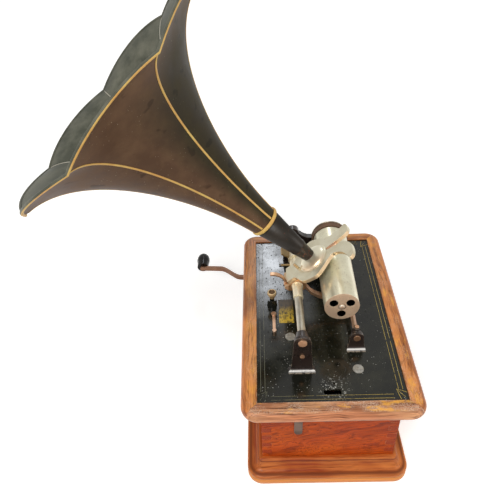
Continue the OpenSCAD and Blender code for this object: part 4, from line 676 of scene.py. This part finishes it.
# Seam ribs: a low arch carried along each seam, outside, with a thin line of solder inside
ribSet = {"span": (0.012, 0.992, 70), "half": 1.2, "high": 0.45,
          "arch": ((-1.0, -0.25), (-1.0, 0.35), (-0.7, 0.8), (-0.25, 1.0), (0.25, 1.0), (0.7, 0.8),
                   (1.0, 0.35), (1.0, -0.25)),
          "solder": ((-0.5, -0.75), (-0.3, -1.15), (0.3, -1.15), (0.5, -0.75)),
          "band": ((17.95, 79.8), (18.9, 79.7), (19.6, 80.4), (20.0, 81.4), (20.0, 82.6), (19.7, 83.6),
                   (19.2, 84.3), (18.6, 84.3))}
ribStore = newStore()
ribUs = np.linspace(*ribSet["span"])
ribArch = np.array(ribSet["arch"]) * (ribSet["half"], ribSet["high"])
ribWay = hornWay(ribUs)
for panel in range(hornSet["panels"]):
    turn = panel / hornSet["panels"]
    line = bellLocal(ribUs, np.full(len(ribUs), turn), 0.0)
    a = firstSeam + fullTurn * turn
    radial = np.array([math.cos(a), math.sin(a), 0.0])
    side = np.array([-math.sin(a), math.cos(a), 0.0])
    outward = ribWay[:, :1] * radial - ribWay[:, 1:] * np.array([0.0, 0.0, 1.0])
    for profile, mat, flip in ((ribArch, 0, True), (np.array(ribSet["solder"]), 1, False)):
        rows = line[None] + profile[:, :1, None] * side + profile[:, 1:, None] * outward[None]
        addGrid(ribStore, hornPlace(rows), mat=mat, flip=flip)

# Band between the neck and the bell: a small moulded ring turned about the horn's axis
addGrid(ribStore, hornPlace(turnedRings(ribSet["band"], hornSet["round"])), closeCols=True)
makePiece("hornRibs", ribStore, "horn", [gilt, nickel], ("horn_ribs",))

# Rolled rim: a round wire along the scalloped mouth, gold outside and dark towards the inside
rimSet = {"radius": 1.8, "gap": 0.1, "perPanel": 28, "steps": 25, "goldLead": 75.0, "goldRows": 10}
rimStore = newStore()
rimCount = hornSet["panels"] * rimSet["perPanel"]
rimTurns = np.arange(rimCount) / rimCount
rimMid = bellLocal(1.0, rimTurns, -hornSet["sheet"] / 2)
endWay = hornWay(1.0)
rimStart = math.atan2(endWay[0], -endWay[1]) - math.radians(rimSet["goldLead"])  # the gold starts here
roundWire = rimStart + np.linspace(0.0, fullTurn, rimSet["steps"])[:, None]
rimAngle = firstSeam + fullTurn * rimTurns
rimShift = endWay * (rimSet["radius"] + rimSet["gap"])
rimOut = np.hypot(rimMid[:, 0], rimMid[:, 1]) + rimShift[1] + rimSet["radius"] * np.sin(roundWire)
rimAlong = rimMid[:, 2] + rimShift[0] + rimSet["radius"] * np.cos(roundWire)
rimGrid = hornPlace(np.stack([rimOut * np.cos(rimAngle), rimOut * np.sin(rimAngle), rimAlong], -1))
addGrid(rimStore, rimGrid[:rimSet["goldRows"] + 1], closeCols=True, mat=0)
addGrid(rimStore, rimGrid[rimSet["goldRows"]:], closeCols=True, mat=1)
makePiece("hornRim", rimStore, "horn", [gilt, enamelInside], ("horn_rim",), weld=True)

# Horn neck: a cone on a short tube, with a raised lap part of the way up, turned about the horn's axis
neckSet = {"line": ((7.2, 0.0), (8.0, 0.0), (8.0, 5.0), (10.2, 21.6), (10.6, 22.0), (11.1, 25.6),
                    (10.86, 26.2), (18.25, 81.8), (17.5, 81.9), (7.3, 5.4), (7.2, 0.0))}
neckStore = newStore()
addGrid(neckStore, hornPlace(turnedRings(neckSet["line"], hornSet["round"])), closeCols=True)
makePiece("hornNeck", neckStore, "horn", [neckEnamel], ("horn_neck",))
print("horn made")

# Fork plane, on which the dome and the clip stand
forkSet = {"origin": (-9.0, 10.0, 236.9917), "slope": 40.0}
slope = math.radians(forkSet["slope"])
forkAxes = np.array([[math.cos(slope), 0.0, math.sin(slope)],
                     [0.0, 1.0, 0.0],
                     [-math.sin(slope), 0.0, math.cos(slope)]])


# From the fork's own axes to the frame: the local point along the axes, plus the origin, in metres
def forkPlace(local):
    return (np.asarray(local, float) @ forkAxes + np.array(forkSet["origin"])) * mm


# Dome: a quarter ellipse turned about its axis on a thin foot ring, its tip open inside the horn's neck
domeSet = {"centre": (-3.7, -1.5), "foot": 19.7, "inner": (15.5, 0.12), "capIn": 0.1, "cap": 7.4,
           "ring": ((0.9, 0.12), (1.1, 0.4), (0.9, 0.75), (0.3, 0.9), (-0.1, 0.95)),
           "span": (9.0, 88.0, 28), "round": 64}
domeStore = newStore()
domeTurn = np.radians(np.linspace(*domeSet["span"]))
domeRing = np.array(domeSet["ring"]) + (domeSet["foot"], 0.0)
domeOut = domeSet["foot"] - domeSet["capIn"]
domeCap = np.column_stack([domeOut * np.cos(domeTurn), domeSet["cap"] * np.sin(domeTurn)])
domeLine = np.vstack([domeSet["inner"], domeRing, domeCap])
domeRings = turnedRings(domeLine, domeSet["round"], domeSet["centre"])
addGrid(domeStore, forkPlace(domeRings), closeCols=True)
makePiece("reproducerDome", domeStore, "fork", [domeNickel], ("reproducer_dome",))

# Clip in the fork's gap: a small copper tongue, a flat oval swept up to a rounded top
clipSet = {"middle": 25.5, "half": (7.5, 2.4), "round": 40, "square": 0.6,
           "rows": ((1.0, -4.0), (1.0, -1.2), (0.94, -0.5), (0.8, -0.1), (0.5, 0.15), (0.02, 0.2))}
clipTurn = np.linspace(0.0, fullTurn, clipSet["round"], endpoint=False)
clipWay = np.column_stack([np.cos(clipTurn), np.sin(clipTurn)])
clipOval = np.sign(clipWay) * np.abs(clipWay)**clipSet["square"]
clipRows = np.array(clipSet["rows"])
clipFlat = clipRows[:, None, :1] * (clipOval * clipSet["half"])[None] + (clipSet["middle"], 0.0)
clipTall = np.broadcast_to(clipRows[:, None, 1:], clipFlat[:, :, :1].shape)
clipStore = newStore()
addGrid(clipStore, forkPlace(np.concatenate([clipFlat, clipTall], -1)), closeCols=True)
makePiece("forkClip", clipStore, "fork", [copper])
print("fork and dome made")

# Speed knob: a cupped head on a cone, turned about its stem, with lines of (radius, height, ridge share)
knobSet = {"at": (-64.5, 11.0), "count": 36, "perRidge": 6, "ridge": 0.16,
           "stem": ((0.01, 144.0, 0), (3.0, 144.0, 0), (3.0, 166.0, 0)),
           "head": ((3.6, 166.2, 0), (3.9, 167.4, 0), (4.7, 169.6, 0), (5.7, 171.8, 0), (6.0, 172.2, 0.3),
                    (6.2, 172.8, 1), (6.2, 175.4, 1), (6.0, 176.2, 0.3), (5.5, 176.7, 0), (4.7, 176.8, 0),
                    (4.1, 176.5, 0)),
           "cup": ((3.7, 175.7, 0), (2.6, 175.5, 0), (2.1, 175.9, 0), (1.2, 176.2, 0), (0.01, 176.3, 0))}
knobLine = np.array(knobSet["stem"] + knobSet["head"] + knobSet["cup"])
knobTurn = np.linspace(0.0, fullTurn, knobSet["count"] * knobSet["perRidge"], endpoint=False)
knobR = knobLine[:, :1] - knobLine[:, 2:] * knobSet["ridge"] * (1 + np.cos(knobTurn * knobSet["count"]))
knobX = knobSet["at"][0] + knobR * np.cos(knobTurn)
knobY = knobSet["at"][1] + knobR * np.sin(knobTurn)
knobGrid = np.stack([knobX, knobY, np.broadcast_to(knobLine[:, 1:2], knobR.shape)], -1) * mm
headAt = len(knobSet["stem"])
cupAt = headAt + len(knobSet["head"])
knobStore = newStore()
addGrid(knobStore, knobGrid[:headAt], closeCols=True, mat=2)
addGrid(knobStore, knobGrid[headAt - 1:cupAt], closeCols=True, mat=0)
addGrid(knobStore, knobGrid[cupAt - 1:], closeCols=True, mat=1)
knobMats = [knobTan, knobDark, collarPaint]
makePiece("speedKnob", knobStore, "speed", knobMats, ("speed_knob",), weld=True)

# Button on the mandrel's near end: a low turned dome on the spindle, as (radius, distance along minus Y)
buttonSet = {"x": 18.0, "z": 212.0, "round": 32,
             "line": ((3.1, 54.9), (3.1, 56.2), (2.7, 56.9), (1.9, 57.4), (0.9, 57.6), (0.01, 57.65))}
buttonStore = newStore()
rings = turnedRings(buttonSet["line"], buttonSet["round"])
buttonX = buttonSet["x"] + rings[..., 0]
buttonZ = buttonSet["z"] + rings[..., 1]
buttonGrid = np.stack([buttonX, -rings[..., 2], buttonZ], -1) * mm
addGrid(buttonStore, buttonGrid, closeCols=True)
makePiece("spindleButton", buttonStore, "mandrel", [spindleNickel], weld=True)
print("knob and button made")

# Pinstripes on the bed plate: flat ribbons round the edge, broken at the corners by fans of three rays
stripeSet = {"half": (86.0, 148.5), "z": 153.05, "lines": ((4.4, 0.5), (9.4, 0.45)), "gap": 16.0,
             "tip": (74.1, 131.9), "rays": ((77.2, 146.0), (82.6, 143.4), (85.6, 136.8)),
             "rayWide": (0.3, 0.75), "steps": 9, "greyGold": (-0.07, 0.06), "wear": (120.0, 4.0, 0.6),
             "wearEdge": (0.56, 0.64), "grey": tone(96, 96, 78), "gold": tone(176, 152, 74),
             "bare": tone(24, 24, 20), "rough": 0.35}
stripeMat, stripeTree, stripeShader = startMaterial("stripeGold")
stripeCoords = objectCoords(stripeTree)
stripeSide = ramp(stripeTree, split(stripeTree, stripeCoords)[0], *stripeSet["greyGold"])
stripeTone = blend(stripeTree, stripeSide, stripeSet["grey"], stripeSet["gold"])
stripeWorn = ramp(stripeTree, noise(stripeTree, stripeCoords, *stripeSet["wear"]), *stripeSet["wearEdge"])
stripeTone = blend(stripeTree, stripeWorn, stripeTone, stripeSet["bare"])
put(stripeTree, stripeShader.inputs["Base Color"], stripeTone)
stripeShader.inputs["Roughness"].default_value = stripeSet["rough"]
stripeStore = newStore()


# A flat ribbon from one point to another, as wide as asked at each end
def ribbon(first, second, wide):
    first, second = np.array(first, float), np.array(second, float)
    run = (second - first) / np.linalg.norm(second - first)
    side = np.array([-run[1], run[0]]) / 2
    line = first + np.linspace(0.0, 1.0, stripeSet["steps"])[:, None] * (second - first)
    spread = np.linspace(*wide, stripeSet["steps"])[:, None] * side
    rows = np.stack([line - spread, line + spread])
    tall = np.full(rows[:, :, :1].shape, stripeSet["z"])
    addGrid(stripeStore, np.concatenate([rows, tall], -1) * mm, flip=True)


halfX, halfY = stripeSet["half"]
endX = halfX - stripeSet["gap"]
endY = halfY - stripeSet["gap"]
for inset, wide in stripeSet["lines"]:
    for s in (-1, 1):
        ribbon((-endX, s * (halfY - inset)), (endX, s * (halfY - inset)), (wide, wide))
        ribbon((s * (halfX - inset), -endY), (s * (halfX - inset), endY), (wide, wide))
for signs in ((-1, -1), (-1, 1), (1, -1), (1, 1)):
    for ray in stripeSet["rays"]:
        ribbon(np.multiply(signs, stripeSet["tip"]), np.multiply(signs, ray), stripeSet["rayWide"])
makePiece("pinstripes", stripeStore, "lid", [stripeMat])

# Worn patch on the plate: brown far off and gold near by, eaten away by black flakes
patchSet = {"x": (-56.0, -36.5, 6), "y": (-24.0, 20.0, 10), "z": 153.04, "bright": (0.008, -0.01),
            "flakeScale": (420.0, 200.0, 200.0), "flakes": (4.0, 0.65), "flakeEdge": (0.44, 0.66),
            "brown": tone(70, 54, 30), "gold": tone(196, 164, 50), "flakeTone": tone(34, 30, 20),
            "rough": 0.4}
patchMat, patchTree, patchShader = startMaterial("fadedGold")
patchCoords = objectCoords(patchTree)
patchNear = ramp(patchTree, split(patchTree, patchCoords)[1], *patchSet["bright"])
patchTone = blend(patchTree, patchNear, patchSet["brown"], patchSet["gold"])
patchCloud = stretch(patchTree, patchCoords, patchSet["flakeScale"])
patchCloud = noise(patchTree, patchCloud, 1.0, *patchSet["flakes"])
patchFlakes = ramp(patchTree, patchCloud, *patchSet["flakeEdge"])
patchTone = blend(patchTree, patchFlakes, patchTone, patchSet["flakeTone"])
put(patchTree, patchShader.inputs["Base Color"], patchTone)
patchShader.inputs["Roughness"].default_value = patchSet["rough"]
patchStore = newStore()
patchX, patchY = np.meshgrid(np.linspace(*patchSet["x"]), np.linspace(*patchSet["y"]))
addGrid(patchStore, np.stack([patchX, patchY, np.full(patchX.shape, patchSet["z"])], -1) * mm)
makePiece("fadedPatch", patchStore, "lid", [patchMat])
print("plate details made")

# Stage: a pale floor, white far from the machine but keeping its shadow, under a pale sky
stageSet = {"half": 4.0, "floor": (0.88, 0.88, 0.87, 1.0), "floorRough": 0.9, "glow": (0.6, 2.0, 0.45, 0.68),
            "sky": (1.0, 0.99, 0.97, 1.0), "skyGlossy": 0.7, "skyLight": 0.42}
floorMat, floorTree, floorShader = startMaterial("paleFloor")
floorShader.inputs["Base Color"].default_value = stageSet["floor"]
floorShader.inputs["Roughness"].default_value = stageSet["floorRough"]
floorShader.inputs["Specular IOR Level"].default_value = 0.0
floorShader.inputs["Emission Color"].default_value = (1.0, 1.0, 1.0, 1.0)
floorPath = floorTree.nodes.new("ShaderNodeLightPath").outputs
floorSeen = calc(floorTree, "MAXIMUM", floorPath["Is Camera Ray"], floorPath["Is Glossy Ray"])
floorSeen = calc(floorTree, "MAXIMUM", floorSeen, floorPath["Is Transmission Ray"])
floorAway = vectorMath(floorTree, "LENGTH", objectCoords(floorTree))
floorGlow = times(floorTree, floorSeen, ramp(floorTree, floorAway, *stageSet["glow"]))
put(floorTree, floorShader.inputs["Emission Strength"], floorGlow)
half = stageSet["half"]
floorMesh = bpy.data.meshes.new("floor")
floorCorners = [(-half, -half, 0), (half, -half, 0), (half, half, 0), (-half, half, 0)]
floorMesh.from_pydata(floorCorners, [], [(0, 1, 2, 3)])
floorMesh.materials.append(floorMat)
floor = bpy.data.objects.new("floor", floorMesh)
bpy.context.scene.collection.objects.link(floor)

world = bpy.data.worlds.new("studio")
bpy.context.scene.world = world
world.use_nodes = True
worldTree = world.node_tree
worldTree.nodes.clear()
worldOut = worldTree.nodes.new("ShaderNodeOutputWorld")
sky = worldTree.nodes.new("ShaderNodeBackground")
worldTree.links.new(sky.outputs[0], worldOut.inputs[0])
skyPath = worldTree.nodes.new("ShaderNodeLightPath").outputs
skySeen = calc(worldTree, "MAXIMUM", skyPath["Is Camera Ray"], skyPath["Is Transmission Ray"])
skyGlossy = times(worldTree, skyPath["Is Glossy Ray"], stageSet["skyGlossy"])
skySeen = calc(worldTree, "MAXIMUM", skySeen, skyGlossy)
sky.inputs["Color"].default_value = stageSet["sky"]
put(worldTree, sky.inputs["Strength"], calc(worldTree, "MAXIMUM", skySeen, stageSet["skyLight"]))

# Lights: a broad key from the left, a weaker fill from the right and a narrow window behind
lightSet = {
    "keyLight": {"place": (-0.7, -1.1, 1.7), "target": (0, 0, 0.15), "size": (1.0, 1.0), "power": 26.0,
                 "colour": (1.0, 0.98, 0.95)},
    "fillLight": {"place": (1.3, -0.6, 1.1), "target": (0, 0, 0.15), "size": (0.9, 0.9), "power": 9.0,
                  "colour": (1.0, 0.97, 0.93)},
    "windowLight": {"place": (-0.05, 1.2, 1.1), "target": (-0.06, 0.09, 0.153), "size": (0.115, 0.26),
                    "power": 1.4, "colour": (0.9, 0.94, 1.0)},
}


def softLight(name, place, target, size, power, colour):
    lamp = bpy.data.lights.new(name, "AREA")
    lamp.shape = "RECTANGLE"
    lamp.size, lamp.size_y = size
    lamp.energy = power
    lamp.color = colour
    holder = bpy.data.objects.new(name, lamp)
    holder.location = place
    holder.rotation_euler = (Vector(target) - Vector(place)).to_track_quat("-Z", "Y").to_euler()
    bpy.context.scene.collection.objects.link(holder)


for name, light in lightSet.items():
    softLight(name, **light)

# Camera: place and turn fitted to the photograph, with the focal length in pixels of its frame
cameraSet = {"place": (-0.0705, -0.5132, 0.6671), "pitch": 38.53, "yaw": 2.22, "roll": 3.09, "focal": 534.07,
             "pixels": 500.0, "sensor": 36.0}


def turnAbout(axis, degrees):
    return Matrix.Rotation(math.radians(degrees), 3, axis)


camData = bpy.data.cameras.new("photoCamera")
camData.sensor_width = cameraSet["sensor"]
camData.lens = cameraSet["focal"] / cameraSet["pixels"] * camData.sensor_width
camera = bpy.data.objects.new("photoCamera", camData)
aim = turnAbout("Z", cameraSet["yaw"]) @ turnAbout("X", -cameraSet["pitch"])
aim = aim @ turnAbout("Y", cameraSet["roll"]) @ turnAbout("X", 90)
camera.location = cameraSet["place"]
camera.rotation_euler = aim.to_euler()
bpy.context.scene.collection.objects.link(camera)
bpy.context.scene.camera = camera
bpy.context.scene.view_settings.view_transform = "Standard"
print("stage, lights and camera set")
